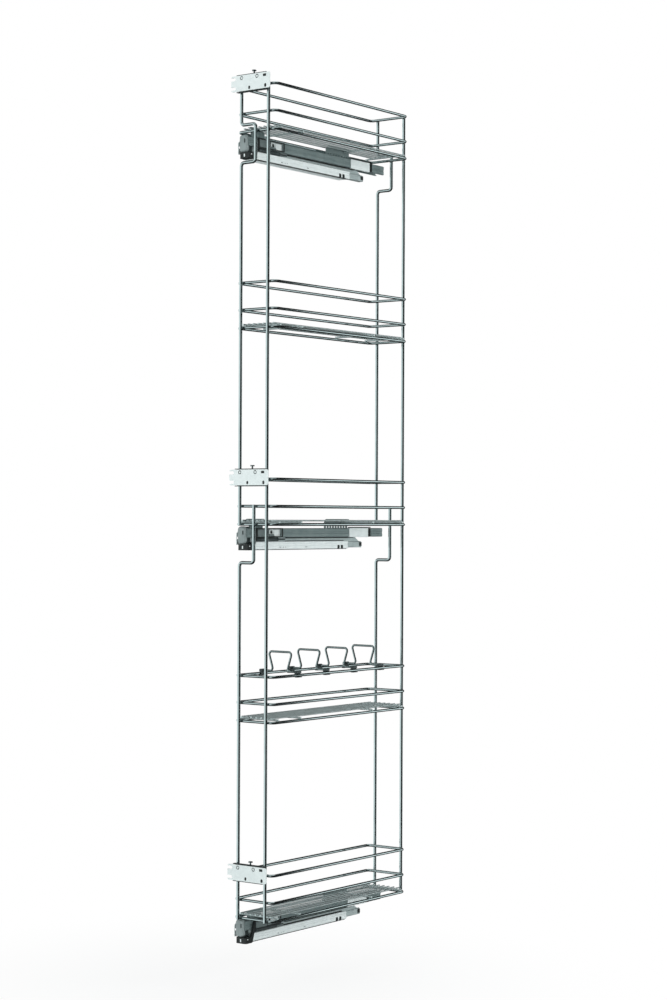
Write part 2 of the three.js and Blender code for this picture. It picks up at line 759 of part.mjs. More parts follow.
// ---------------------------------------------------------------- bottle dividers
// Heights in a divider are measured from the middle of the top rail that it stands on
const clipBore = railDiameter + 2 * slidingGap;
const clipWidth = clipBore + 2 * clipWall;
const clipTop = railDiameter / 2 + slidingGap + touchGap + dividerWireDiameter + clipWall / 2;
const footWireZ = clipTop - clipWall / 2 - dividerWireDiameter / 2;

function dividerWire() {
  const at = (x, z) => new THREE.Vector3(x, 0, z);
  const endX = (railRightX - railLeftX) / 2 - clipWidth / 2 - touchGap;
  return bentWire([
    at(-endX, footWireZ),
    at(-dividerFootWidth / 2, footWireZ),
    at(-dividerTopWidth / 2, dividerHeight),
    at(dividerTopWidth / 2, dividerHeight),
    at(dividerFootWidth / 2, footWireZ),
    at(endX, footWireZ),
  ], dividerWireDiameter, dividerBendRadius).translate(middleX, 0, 0);
}

// A plastic clip snapped over the top rail, open below
function railClip() {
  const radius = clipBore / 2;
  const halfMouth = Math.asin(clipMouth / clipBore);
  const clip = new THREE.Shape();
  const bottom = -radius - clipWall / 2;
  clip.moveTo(clipMouth / 2, bottom);
  clip.lineTo(clipWidth / 2, bottom);
  clip.lineTo(clipWidth / 2, clipTop - clipWall);
  clip.lineTo(clipWidth / 2 - clipWall, clipTop);
  clip.lineTo(clipWall - clipWidth / 2, clipTop);
  clip.lineTo(-clipWidth / 2, clipTop - clipWall);
  clip.lineTo(-clipWidth / 2, bottom);
  clip.lineTo(-clipMouth / 2, bottom);
  clip.absarc(0, 0, radius, -Math.PI / 2 - halfMouth, -Math.PI / 2 + halfMouth, true);
  clip.closePath();
  return alongY(clip, -clipLength / 2, clipLength / 2, bendSteps);
}

for (let index = 0; index < dividerCount; index += 1) {
  const divider = new THREE.Group();
  divider.position.set(
    0,
    fromFront(firstDividerSetback + index * dividerPitch),
    baseRailZ(dividerBasket) + topRailRise);
  unit.add(divider);
  const number = index + 1;
  addPiece(`divider_${number}_wire`, dividerWire(), chromeWire, divider);
  addPiece(`divider_${number}_left_clip`, railClip(), blackPlastic, divider).position.x = railLeftX;
  addPiece(`divider_${number}_right_clip`, railClip(), blackPlastic, divider).position.x = railRightX;
}

export default unit;
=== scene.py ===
# %% [markdown]
# # A pull-out larder unit in a plain studio
#
# The real object is a tall, narrow frame of bright plated wire. Five wire baskets are welded into it, three runners
# carry it out of a kitchen cabinet, and three brackets hold the cabinet's door. Its construction comes in as a fixed
# frame of plain solids with true sizes. This lesson builds the finished surfaces around that frame, piece by piece,
# and leaves every solid where it is.

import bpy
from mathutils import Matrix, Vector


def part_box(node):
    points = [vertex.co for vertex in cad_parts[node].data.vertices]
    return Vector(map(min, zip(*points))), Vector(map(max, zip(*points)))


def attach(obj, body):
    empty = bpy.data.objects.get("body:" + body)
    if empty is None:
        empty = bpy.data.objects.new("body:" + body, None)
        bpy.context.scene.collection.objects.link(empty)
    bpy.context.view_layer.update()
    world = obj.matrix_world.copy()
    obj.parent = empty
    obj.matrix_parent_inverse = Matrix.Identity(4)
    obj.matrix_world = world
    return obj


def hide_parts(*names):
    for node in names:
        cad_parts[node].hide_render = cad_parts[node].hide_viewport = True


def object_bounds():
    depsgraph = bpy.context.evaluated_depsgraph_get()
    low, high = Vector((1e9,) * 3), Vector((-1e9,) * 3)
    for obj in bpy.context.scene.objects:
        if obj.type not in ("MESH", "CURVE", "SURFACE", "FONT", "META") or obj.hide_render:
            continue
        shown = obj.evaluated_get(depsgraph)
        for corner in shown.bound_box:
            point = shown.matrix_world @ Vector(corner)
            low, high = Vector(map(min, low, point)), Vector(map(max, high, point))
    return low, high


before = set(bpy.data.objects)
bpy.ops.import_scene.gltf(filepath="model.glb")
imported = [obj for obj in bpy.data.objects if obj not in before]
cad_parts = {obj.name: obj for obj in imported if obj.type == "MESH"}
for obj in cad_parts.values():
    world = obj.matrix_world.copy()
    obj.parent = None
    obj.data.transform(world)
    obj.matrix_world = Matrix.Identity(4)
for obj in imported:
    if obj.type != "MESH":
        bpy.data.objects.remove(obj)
cad_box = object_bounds()

# %% [markdown]
# Shapes are drawn in millimetres, as a workshop drawing is, and turned into metres when they become an object.
# Everything that the frame can tell is read from it, so the pieces stay on their solids.

# %% Sizes read from the frame
import math

import bmesh
import bpy
from mathutils import Matrix, Vector

MM = 0.001
BASKETS = range(1, 6)
DIVIDERS = range(1, 5)


def span(node):
    """The lowest corner, the middle and the highest corner of a node, in millimetres."""
    low, high = (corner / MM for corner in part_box(node))
    return low, (low + high) / 2, high


rail_low, rail_middle, rail_high = span("basket_1_top_rail")
rail_radius = (rail_high.z - rail_low.z) / 2
ring_left, ring_right = rail_low.x + rail_radius, rail_high.x - rail_radius
ring_front, ring_rear = rail_low.y + rail_radius, rail_high.y - rail_radius
upright_low, upright_middle, upright_high = span("front_right_upright")
upright_radius = (upright_high.x - upright_low.x) / 2
front_y, rear_y = upright_middle.y, span("rear_right_upright")[1].y
middle_x = (ring_left + ring_right) / 2
base_z = {basket: span(f"basket_{basket}_floor")[0].z + rail_radius for basket in BASKETS}
level_z = {"top": base_z[1], "middle": base_z[3], "bottom": base_z[5]}
print(f"baskets {ring_right - ring_left:.0f} by {ring_rear - ring_front:.0f} mm between rail middles")

# %% [markdown]
# ## Camera
#
# The picture is taken from the front right, at about the height of the middle basket, with a long lens from more
# than four metres away. The lens is set on the short sensor side, because the picture is upright.

# %% Camera
CAMERA_PLACE = Vector((2.835, -3.462, 0.854))
YAW, PITCH, ROLL = (math.radians(angle) for angle in (36.81, 0.469, 0.256))
PICTURE_HEIGHT = 1000
FOCAL_LENGTH_IN_PIXELS = 2182
SENSOR_HEIGHT = 24
UP = Vector((0, 0, 1))


def link_piece(name, data):
    """A new object in the scene."""
    piece = bpy.data.objects.new(name, data)
    bpy.context.scene.collection.objects.link(piece)
    return piece


view_forward = Vector((-math.sin(YAW) * math.cos(PITCH), math.cos(YAW) * math.cos(PITCH), math.sin(PITCH)))
level_right = Vector((math.cos(YAW), math.sin(YAW), 0))
level_up = level_right.cross(view_forward)
view_right = math.cos(ROLL) * level_right + math.sin(ROLL) * level_up
view_up = math.cos(ROLL) * level_up - math.sin(ROLL) * level_right
camera = link_piece("camera", bpy.data.cameras.new("camera"))
camera.data.sensor_fit = "VERTICAL"
camera.data.sensor_height = SENSOR_HEIGHT
camera.data.lens = FOCAL_LENGTH_IN_PIXELS * SENSOR_HEIGHT / PICTURE_HEIGHT
camera.data.clip_end = 100
camera_turn = Matrix((view_right, view_up, -view_forward)).transposed().to_4x4()
camera.matrix_world = Matrix.Translation(CAMERA_PLACE) @ camera_turn
bpy.context.scene.camera = camera
bpy.context.scene.view_settings.view_transform = "Standard"
print(f"lens {camera.data.lens:.1f} mm")

# %% [markdown]
# ## Node helpers
#
# Materials and geometry both use node trees. One helper adds a node and fills its sockets: a socket takes a plain
# value, or a link from another node.


# %% Node helpers
def plug(tree, socket, value):
    """Gives a socket a plain value, or a link from a node or from another socket."""
    if isinstance(value, bpy.types.Node):
        value = value.outputs[0]
    if isinstance(value, bpy.types.NodeSocket):
        tree.links.new(value, socket)
    else:
        socket.default_value = value


def add(tree, kind, *values, settings=None, **sockets):
    """Adds a node to a tree. Values fill its first sockets, and names, with _ for each space, fill any socket."""
    node = tree.nodes.new(kind)
    for key, value in (settings or {}).items():
        setattr(node, key, value)
    for socket, value in zip(node.inputs, values):
        plug(tree, socket, value)
    for key, value in sockets.items():
        plug(tree, node.inputs[key.replace("_", " ")], value)
    return node


def multiply(tree, first, second):
    return add(tree, "ShaderNodeMath", first, second, settings={"operation": "MULTIPLY"})


# %% [markdown]
# A geometry tree starts with named inputs and ends in real geometry and a finish. It is run on an object once, and the
# result stays as a plain mesh.


# %% Geometry tree helpers
def geometry_tree(name, **inputs):
    """A geometry tree with named inputs, its input sockets, and its output socket."""
    tree = bpy.data.node_groups.new(name, "GeometryNodeTree")
    for label, kind in {"Geometry": "Geometry", **inputs}.items():
        tree.interface.new_socket(label.replace("_", " "), in_out="INPUT", socket_type=f"NodeSocket{kind}")
    tree.interface.new_socket("Geometry", in_out="OUTPUT", socket_type="NodeSocketGeometry")
    given = tree.nodes.new("NodeGroupInput").outputs
    return tree, given, tree.nodes.new("NodeGroupOutput").inputs[0]


def close_tree(tree, shape, material, result, smooth=True):
    """Ends a tree: smooth shading, real geometry in place of instances, and the finish."""
    shaded = add(tree, "GeometryNodeSetShadeSmooth", Geometry=shape, Shade_Smooth=smooth)
    real = add(tree, "GeometryNodeRealizeInstances", Geometry=shaded)
    plug(tree, result, add(tree, "GeometryNodeSetMaterial", Geometry=real, Material=material))
    return tree


def plain_mesh(piece):
    """Replaces a piece's mesh by what its modifiers make of it, and removes the modifiers."""
    mesh = bpy.data.meshes.new_from_object(piece.evaluated_get(bpy.context.evaluated_depsgraph_get()))
    piece.modifiers.clear()
    piece.data = mesh
    mesh.name = piece.name
    return piece


def run_tree(piece, tree, **values):
    """Runs a geometry tree on a piece with these values for its named inputs."""
    modifier = piece.modifiers.new(tree.name, "NODES")
    modifier.node_group = tree
    for item in tree.interface.items_tree:
        key = item.name.replace(" ", "_")
        if item.in_out == "INPUT" and key in values:
            modifier[item.identifier] = values[key]
    return plain_mesh(piece)


# %% [markdown]
# ## Finishes
#
# The wire is steel with a bright nickel-chrome plating, the plates and the cabinet rails are zinc plated sheet, the
# carrier rails are grey, and the mouldings are grey or black plastic. All of them come from one recipe: a slow
# change of colour over some centimetres, patches of duller surface, and a fine grain that only the light shows. The
# patterns read Object coordinates, so they lie still on a piece when it moves.

# %% Finish recipe
NOISE_RANGE = (0.3, 0.7)
NOISE_DETAIL = 3.0
RELIEF_STRENGTH = 0.5


def new_material(name):
    material = bpy.data.materials.new(name)
    material.use_nodes = True
    material.node_tree.nodes.clear()
    return material, material.node_tree, add(material.node_tree, "ShaderNodeTexCoord").outputs["Object"]


def noise(tree, place, scale, stretch=(1, 1, 1)):
    mapped = add(tree, "ShaderNodeMapping", Vector=place, Scale=stretch)
    return add(tree, "ShaderNodeTexNoise", Vector=mapped, Scale=scale, Detail=NOISE_DETAIL)


def finish(name, slot, dark, light, metallic, roughness, patch, grain, depth=0.02, stretch=(1, 1, 1)):
    """One finish. Patch and grain are the counts per metre of the colour patches and of the surface grain, and depth
    is how deep the grain looks, in millimetres."""
    material, tree, place = new_material(name)
    colours = add(tree, "ShaderNodeValToRGB", Fac=noise(tree, place, patch))
    for element, position, colour in zip(colours.color_ramp.elements, NOISE_RANGE, (dark, light)):
        element.position = position
        element.color = (*colour, 1)
    texture = noise(tree, place, grain, stretch)
    dullness = add(tree, "ShaderNodeMapRange", texture, *NOISE_RANGE, *roughness)
    relief = add(tree, "ShaderNodeBump", Height=texture, Strength=RELIEF_STRENGTH, Distance=depth * MM)
    shader = add(
        tree, "ShaderNodeBsdfPrincipled", Base_Color=colours, Roughness=dullness, Normal=relief, Metallic=metallic)
    add(tree, "ShaderNodeOutputMaterial", Surface=shader)
    return material


# %% [markdown]
# Polished wire needs the lowest roughness, because its stripes are what shows that it is round. The thin mat wires
# have a duller plating, and their paler colour is painted light. The divider loops have a slightly duller plating, and
# their darker colour is painted shade. The slides are zinc darkened as painted shade, and the dark steel colour of the
# strips under the channels and of the clamp channels is painted shade too. The greys are kept slightly green and blue,
# as they are on zinc.

# %% The finishes of this unit
ALONG_THE_RAIL = (1, 0.03, 1)
MOULDED = (0.0, (0.40, 0.55), 60, 1800, 0.03)
bright_wire = finish(
    "bright plated wire", "chrome_wire", (0.53, 0.60, 0.605), (0.63, 0.70, 0.705), 1.0, (0.06, 0.13), 45, 700, 0.003)
# The mat wires have a duller plating, and their paler colour is painted light.
mat_wire_painted_light = finish(
    "mat wire plating", "chrome_wire", (0.70, 0.78, 0.78), (0.82, 0.90, 0.90), 0.8, (0.27, 0.36), 45, 700, 0.003)
# The divider loops are the same plated wire; their darker colour is painted shade.
loop_wire_painted_shade = finish(
    "loop wire plating", "chrome_wire", (0.27, 0.32, 0.32), (0.36, 0.42, 0.42), 1.0, (0.08, 0.16), 45, 700, 0.005)
zinc_sheet = finish(
    "zinc plated sheet", "zinc_sheet", (0.80, 0.86, 0.86), (0.87, 0.925, 0.923), 0.22, (0.34, 0.46), 70, 900,
    stretch=ALONG_THE_RAIL)
rail_grey = finish(
    "grey rail coating", "grey_sheet", (0.195, 0.25, 0.25), (0.245, 0.305, 0.305), 0.4, (0.34, 0.46), 40, 1100,
    stretch=ALONG_THE_RAIL)
moulded_grey = finish("grey moulding", "grey_plastic", (0.235, 0.28, 0.28), (0.295, 0.345, 0.345), *MOULDED)
moulded_mid = finish("mid grey moulding", "black_plastic", (0.10, 0.13, 0.13), (0.145, 0.18, 0.18), *MOULDED)
moulded_dark = finish("dark grey moulding", "black_plastic", (0.032, 0.044, 0.045), (0.054, 0.069, 0.07), *MOULDED)
moulded_black = finish(
    "black moulding", "black_plastic", (0.007, 0.009, 0.009), (0.014, 0.018, 0.018), 0.0, (0.38, 0.55), 60, 1800, 0.03)
# The middle rails are zinc like the channels; this darker copy is painted shade, so they part from the channel round
# them.
slide_zinc_painted_shade = finish(
    "slide steel", "zinc_sheet", (0.43, 0.50, 0.50), (0.53, 0.60, 0.60), 0.5, (0.3, 0.42), 70, 900,
    stretch=ALONG_THE_RAIL)
# A dark steel colour that is painted shade: it darkens the strips under the channels and the clamp channels.
dark_steel_painted_shade = finish(
    "dark plated steel", "screw_steel", (0.018, 0.024, 0.024), (0.03, 0.038, 0.038), 0.3, (0.3, 0.42), 90, 1200)
screw_steel = finish(
    "screw steel", "screw_steel", (0.185, 0.225, 0.225), (0.28, 0.325, 0.325), 1.0, (0.22, 0.36), 200, 1500)

# %% [markdown]
# ## Stage
#
# Bright metal shows the room more than itself. This room has a wide soft box on the left, a small bright one on the
# far right, a little light in the ceiling and dark walls between them. An upright then shows a pale left half and a
# dark right half, and a rail shows a pale line between two dark ones. The world makes that room: soft grey for matt
# surfaces, the boxes for reflections, and plain white for the camera.

# %% Stage: the room that the metal mirrors
DIFFUSE_LEVEL = 0.56
CAMERA_WALL, BACK_WALL, RIGHT_WALL = 0.06, 0.02, 0.012
SOFT_BOX, SIDE_BOX, CEILING, FLOOR_SHADE = 1.0, 1.35, 0.9, 0.03
screen_side = Vector((view_forward.x, view_forward.y, 0)).normalized()
soft_box_side = -Vector((view_right.x, view_right.y, 0)).normalized()
side_box_side = (0.334 * screen_side - 0.943 * soft_box_side).normalized()
world = bpy.data.worlds.new("studio")
bpy.context.scene.world = world
world.use_nodes = True
room = world.node_tree
room.nodes.clear()
direction = add(room, "ShaderNodeTexCoord").outputs["Generated"]


def smooth_step(tree, value, start, end):
    return add(tree, "ShaderNodeMapRange", value, start, end, settings={"interpolation_type": "SMOOTHSTEP"})


def towards(side):
    """How far a direction points to one side of the room, from -1 to 1."""
    return add(room, "ShaderNodeVectorMath", direction, side, settings={"operation": "DOT_PRODUCT"}).outputs["Value"]


def lay(under, shade, share):
    """One shade laid over what is under it, where the share is 1."""
    return add(room, "ShaderNodeMapRange", Value=share, To_Min=under, To_Max=shade)


def panel(under, shade, side, start, end):
    """A panel where a direction turns far enough to one side: its edge fades from start to end."""
    return lay(under, shade, smooth_step(room, towards(side), start, end))


def box(under, shade, side, width, height):
    """An upright box on one side of the room: half its width and half its height, each as the two places between
    which its edge fades."""
    share = smooth_step(room, towards(side), 0.0, 0.1)
    for way, (inner, outer) in ((Vector((side.y, -side.x, 0)), width), (UP, height)):
        aside = add(room, "ShaderNodeMath", towards(way), settings={"operation": "ABSOLUTE"})
        share = multiply(room, share, smooth_step(room, aside, outer, inner))
    return lay(under, shade, share)


walls = panel(CAMERA_WALL, BACK_WALL, screen_side, -0.3, 0.3)
walls = panel(walls, RIGHT_WALL, -soft_box_side, 0.05, 0.3)
walls = panel(walls, FLOOR_SHADE, -UP, 0.3, 0.5)
walls = box(walls, SOFT_BOX, soft_box_side, (0.91, 0.985), (0.28, 0.48))
walls = box(walls, SIDE_BOX, side_box_side, (0.10, 0.15), (0.18, 0.29))
mirrored = panel(walls, CEILING, UP, 0.7, 0.9)
paths = add(room, "ShaderNodeLightPath").outputs
matt_light = add(room, "ShaderNodeBackground", Color=(0.95, 1.0, 1.0, 1), Strength=DIFFUSE_LEVEL)
mirror_light = add(room, "ShaderNodeBackground", Color=(0.91, 1.0, 1.0, 1), Strength=mirrored)
white_light = add(room, "ShaderNodeBackground", Color=(1, 1, 1, 1), Strength=1.0)
metal_mix = add(room, "ShaderNodeMixShader", paths["Is Glossy Ray"], matt_light, mirror_light)
camera_mix = add(room, "ShaderNodeMixShader", paths["Is Camera Ray"], metal_mix, white_light)
add(room, "ShaderNodeOutputWorld", Surface=camera_mix)

# %% [markdown]
# The floor is matt and pale, so it keeps a faint shadow under the unit, and it fades to plain white further out. The
# lamps are large and soft. They light the matt pieces only: what metal mirrors is the room.

# %% Stage: floor and lamps
FLOOR_DROP = 0.09
HALF_FLOOR = 30
SHADOW_REACH = 0.9
unit_middle = (cad_box[0] + cad_box[1]) / 2


def floor_finish():
    """Pale and matt near the unit, where it keeps the shadow, and plain white for the camera further out. Mirrors look
    through it at the room's own floor panel."""
    material, tree, place = new_material("pale floor")
    distance = add(tree, "ShaderNodeVectorMath", place, settings={"operation": "LENGTH"}).outputs["Value"]
    far = smooth_step(tree, distance, 0.1 * SHADOW_REACH, SHADOW_REACH)
    lifted = add(tree, "ShaderNodeMapRange", Value=far, To_Min=0.8, To_Max=1.0)
    paths = add(tree, "ShaderNodeLightPath").outputs
    matt = add(tree, "ShaderNodeBsdfDiffuse", Color=(0.93, 0.94, 0.94, 1))
    white = add(tree, "ShaderNodeEmission", Color=(1, 1, 1, 1), Strength=1.0)
    seen = add(tree, "ShaderNodeMixShader", multiply(tree, paths["Is Camera Ray"], lifted), matt, white)
    clear = add(tree, "ShaderNodeBsdfTransparent")
    mirrored_floor = add(tree, "ShaderNodeMixShader", paths["Is Glossy Ray"], seen, clear)
    add(tree, "ShaderNodeOutputMaterial", Surface=mirrored_floor)
    return material


floor_mesh = bpy.data.meshes.new("floor")
floor_corners = [
    (x * HALF_FLOOR, y * HALF_FLOOR, cad_box[0].z - FLOOR_DROP) for x, y in ((-1, -1), (1, -1), (1, 1), (-1, 1))]
floor_mesh.from_pydata(floor_corners, [], [(0, 1, 2, 3)])
floor_mesh.materials.append(floor_finish())
link_piece("floor", floor_mesh)
for name, side, distance, rise, size, power in (
        ("soft box", soft_box_side - 1.1 * screen_side, 3.2, 1.0, 2.2, 36),
        ("fill lamp", -soft_box_side - 0.3 * screen_side, 3.6, 0.6, 2.0, 60),
        ("back lamp", screen_side, 3.4, 1.6, 1.6, 12)):
    lamp = link_piece(name, bpy.data.lights.new(name, "AREA"))
    lamp.data.shape = "SQUARE"
    lamp.data.size = size
    lamp.data.energy = power
    lamp.visible_glossy = False
    place = unit_middle + side.normalized() * distance + UP * rise
    aim = (unit_middle - place).to_track_quat("-Z", "Y").to_matrix().to_4x4()
    lamp.matrix_world = Matrix.Translation(place) @ aim

# %% [markdown]
# ## Bent wire
#
# Rings, uprights and divider loops are all lengths of round wire bent on a former. Each one starts as a line of
# corner points. A geometry tree rounds the corners with Fillet Curve and runs a circle along the line. A thickness
# value on each point makes the cut ends a little thinner, as they are after deburring.


# %% Bent wire: the tree
def wire_tree():
    tree, given, result = geometry_tree(
        "bent wire", Diameter="Float", Bend_Radius="Float", Bend_Steps="Int", Sides="Int", Finish="Material")
    line = add(tree, "GeometryNodeMeshToCurve", Mesh=given["Geometry"])
    bent = add(
        tree, "GeometryNodeFilletCurve", settings={"mode": "POLY"}, Curve=line, Count=given["Bend Steps"],
        Radius=given["Bend Radius"], Limit_Radius=True)
    radius = multiply(tree, given["Diameter"], 0.5)
    section = add(tree, "GeometryNodeCurvePrimitiveCircle", Resolution=given["Sides"], Radius=radius)
    thickness = add(tree, "GeometryNodeInputNamedAttribute", settings={"data_type": "FLOAT"}, Name="thickness")
    wire = add(
        tree, "GeometryNodeCurveToMesh", Curve=bent, Profile_Curve=section, Scale=thickness, Fill_Caps=True)
    return close_tree(tree, wire, given["Finish"], result)


bent_wire = wire_tree()

# %% [markdown]
# The line itself is a mesh of points and edges. An open line gets two more points close to each end, where the wire
# starts to taper.

# %% Bent wire: lines and pieces
WIRE_SIDES = 16
BEND_STEPS = 8
END_TAPER = 0.6
END_THICKNESS = 0.72
WIRE_SHARP = math.radians(40)


def dress(piece, body, look, *stands_for):
    """Puts a finished piece on its body, and hides the solids that it stands for."""
    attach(piece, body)
    if stands_for:
        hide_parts(*stands_for)


def point_piece(name, points, edges=()):
    """An object of points and edges, given in millimetres."""
    mesh = bpy.data.meshes.new(name)
    mesh.from_pydata([Vector(point) * MM for point in points], edges, [])
    return link_piece(name, mesh)


def wire_piece(name, corners, radius, bend_radius, body, node, closed=False, look=bright_wire):
    """A bent wire along a line of corner points."""
    corners = [Vector(corner) for corner in corners]
    thickness = [1.0] * len(corners)
    if not closed:
        first = corners[0] + (corners[1] - corners[0]).normalized() * END_TAPER
        last = corners[-1] + (corners[-2] - corners[-1]).normalized() * END_TAPER
        corners = [corners[0], first, *corners[1:-1], last, corners[-1]]
        thickness = [END_THICKNESS, *thickness, END_THICKNESS]
    count = len(corners)
    edges = [(index, (index + 1) % count) for index in range(count if closed else count - 1)]
    piece = point_piece(name, corners, edges)
    piece.data.attributes.new("thickness", "FLOAT", "POINT").data.foreach_set("value", thickness)
    run_tree(
        piece, bent_wire, Diameter=2 * radius * MM, Bend_Radius=bend_radius * MM, Bend_Steps=BEND_STEPS,
        Sides=WIRE_SIDES, Finish=look)
    piece.data.set_sharp_from_angle(angle=WIRE_SHARP)
    dress(piece, body, look, node)


# %% [markdown]
# A basket's rails are closed rings. The two upper ones go round the uprights on the inside, and the base rail carries
# the mat. The butt weld of a ring is ground flush before plating, so the closed line has no seam.

# %% Basket rails
RING_CORNER = 10


def ring_piece(name, z, node):
    corners = [(ring_left, ring_front), (ring_right, ring_front), (ring_right, ring_rear), (ring_left, ring_rear)]
    wire_piece(name, [(x, y, z) for x, y in corners], rail_radius, RING_CORNER, "pull_out", node, closed=True)


for basket in BASKETS:
    for rail in ("top_rail", "middle_rail"):
        node = f"basket_{basket}_{rail}"
        ring_piece(f"{node}_wire", span(node)[1].z, node)
    ring_piece(f"basket_{basket}_base_rail_wire", base_z[basket], f"basket_{basket}_floor")
print("rails:", 3 * len(BASKETS))

# %% [markdown]
# The right uprights are straight. Each left upright steps inwards with two S-bends where a runner passes, and the
# wire that passes the middle runner is a separate length that starts on the middle basket's middle rail.

# %% Uprights
UPRIGHT_BEND = 7
step_top, step_bottom, lower_step = base_z[1] + 13, base_z[1] - 64, base_z[3] - 78
upper_low, _, upper_high = span("front_left_upper_upright")
left_x, step_x, right_x = upper_low.x + upright_radius, upper_high.x - upright_radius, upright_high.x - upright_radius
top_z, bottom_z = upright_high.z, upright_low.z

for place, y in (("front", front_y), ("rear", rear_y)):
    upper_end = span(f"{place}_left_upper_upright")[0].z
    lower_start = span(f"{place}_left_lower_upright")[2].z
    upper = [
        (left_x, top_z), (left_x, step_top), (step_x, step_top), (step_x, step_bottom), (left_x, step_bottom),
        (left_x, upper_end)]
    lower = [(step_x, lower_start), (step_x, lower_step), (left_x, lower_step), (left_x, bottom_z)]
    straight = [(right_x, top_z), (right_x, bottom_z)]
    for side, line in (("right", straight), ("left_upper", upper), ("left_lower", lower)):
        node = f"{place}_{side}_upright"
        wire_piece(f"{node}_wire", [(x, y, z) for x, z in line], upright_radius, UPRIGHT_BEND, "pull_out", node)
print(f"uprights {top_z - bottom_z:.0f} mm long")

# %% [markdown]
# ## Wire mats
#
# Each basket's floor is a mat: cross wires lie on the base rail, and long wires lie on the cross wires. Both sets are
# the same piece of straight wire repeated at a fixed pitch, which is what instancing on points does best.

# %% Wire mats
CROSS_DIAMETER = 4.0
MAT_DIAMETER = 3.2
MAT_COUNT = 7
MAT_PITCH = 13
MAT_END_GAP = 3
WELD_SINK = 0.3
CROSS_PLACES = [front_y + 22, front_y + 95, rear_y - 131, rear_y - 22]
cross_rise = rail_radius + CROSS_DIAMETER / 2 - WELD_SINK
mat_rise = cross_rise + (CROSS_DIAMETER + MAT_DIAMETER) / 2 - WELD_SINK
mat_xs = [middle_x + (index - (MAT_COUNT - 1) / 2) * MAT_PITCH for index in range(MAT_COUNT)]


def mat_tree():
    """A row of long wires at one pitch, and a cross wire on each point of the source."""
    tree, given, result = geometry_tree(
        "wire mat", Long_Diameter="Float", Cross_Diameter="Float", Long_Length="Float", Cross_Length="Float",
        Count="Int", Pitch="Float", First_Wire="Vector", Finish="Material")

    def wires(points, way, turn):
        radius = multiply(tree, given[f"{way} Diameter"], 0.5)
        bar = add(tree, "GeometryNodeMeshCylinder", Vertices=12, Radius=radius, Depth=given[f"{way} Length"])
        wire = add(tree, "GeometryNodeTransform", Geometry=bar, Rotation=turn)
        return add(tree, "GeometryNodeInstanceOnPoints", Points=points, Instance=wire)

    row = add(
        tree, "GeometryNodeMeshLine", settings={"mode": "OFFSET"}, Count=given["Count"],
        Start_Location=given["First Wire"], Offset=add(tree, "ShaderNodeCombineXYZ", X=given["Pitch"]))
    both = add(tree, "GeometryNodeJoinGeometry", wires(row, "Long", (math.pi / 2, 0, 0)))
    plug(tree, both.inputs[0], wires(given["Geometry"], "Cross", (0, math.pi / 2, 0)))
    return close_tree(tree, both, given["Finish"], result)


wire_mat = mat_tree()
mat_start, mat_end = ring_front + rail_radius + MAT_END_GAP, ring_rear - rail_radius - MAT_END_GAP
for basket, z in base_z.items():
    mat = run_tree(
        point_piece(f"basket_{basket}_mat", [(middle_x, y, z + cross_rise) for y in CROSS_PLACES]), wire_mat,
        Long_Diameter=MAT_DIAMETER * MM, Cross_Diameter=CROSS_DIAMETER * MM, Long_Length=(mat_end - mat_start) * MM,
        Cross_Length=(ring_right - ring_left + 2 * rail_radius) * MM, Count=MAT_COUNT, Pitch=MAT_PITCH * MM,
        First_Wire=Vector((mat_xs[0], (mat_start + mat_end) / 2, z + mat_rise)) * MM, Finish=mat_wire_painted_light)
    mat.data.set_sharp_from_angle(angle=WIRE_SHARP)
    dress(mat, "pull_out", mat_wire_painted_light, f"basket_{basket}_floor")
print(f"mats {mat_end - mat_start:.0f} mm long")

# %% [markdown]
# ## Welds
#
# Where two wires cross they are resistance welded: the metal is squeezed out a little, and the plating covers it. A
# weld is a flattened ball, turned so that its flat side lies across the joint. Each point carries the direction from
# one wire to the other. The size changes a little from weld to weld, from a fixed seed.


# %% Points that carry a direction
def facing_points(name, places):
    """An object of loose points, each with the direction that what is set on it faces."""
    piece = point_piece(name, [place for place, _ in places])
    facing = piece.data.attributes.new("facing", "FLOAT_VECTOR", "POINT")
    facing.data.foreach_set("vector", [value for _, way in places for value in way])
    return piece


def set_on_points(tree, given, shape, **scale):
    """Puts a shape on each point, with its Z axis along the point's direction."""
    facing = add(tree, "GeometryNodeInputNamedAttribute", settings={"data_type": "FLOAT_VECTOR"}, Name="facing")
    turn = add(tree, "FunctionNodeAlignRotationToVector", settings={"axis": "Z"}, Vector=facing)
    return add(
        tree, "GeometryNodeInstanceOnPoints", Points=given["Geometry"], Instance=shape, Rotation=turn, **scale)


# %% [markdown]
# The welds come in three sizes: between the rings and the uprights, under the cross wires, and between the two sets of
# mat wires.

# %% Welds
WELD_SPREAD = 0.18
SIDEWAYS, UPWARDS = (0, 1, 0), (0, 0, 1)


def weld_tree():
    tree, given, result = geometry_tree("welds", Width="Float", Thickness="Float", Seed="Int", Finish="Material")
    ball = add(tree, "GeometryNodeMeshIcoSphere", Radius=0.5, Subdivisions=2)
    size = add(tree, "ShaderNodeCombineXYZ", given["Width"], given["Width"], given["Thickness"])
    flat = add(tree, "GeometryNodeTransform", Geometry=ball, Scale=size)
    change = add(tree, "FunctionNodeRandomValue", settings={"data_type": "FLOAT"}, Seed=given["Seed"])
    change.inputs[2].default_value, change.inputs[3].default_value = 1 - WELD_SPREAD, 1 + WELD_SPREAD
    placed = set_on_points(tree, given, flat, Scale=change.outputs[1])
    return close_tree(tree, placed, given["Finish"], result)


def upright_xs(z):
    """Where the uprights stand at a rail's height. The left one has stepped inwards at the top basket's floor."""
    xs = [right_x, step_x if step_bottom < z < step_top else left_x]
    if base_z[3] - rail_radius <= z <= base_z[3] + 40:
        xs.append(step_x)
    return xs


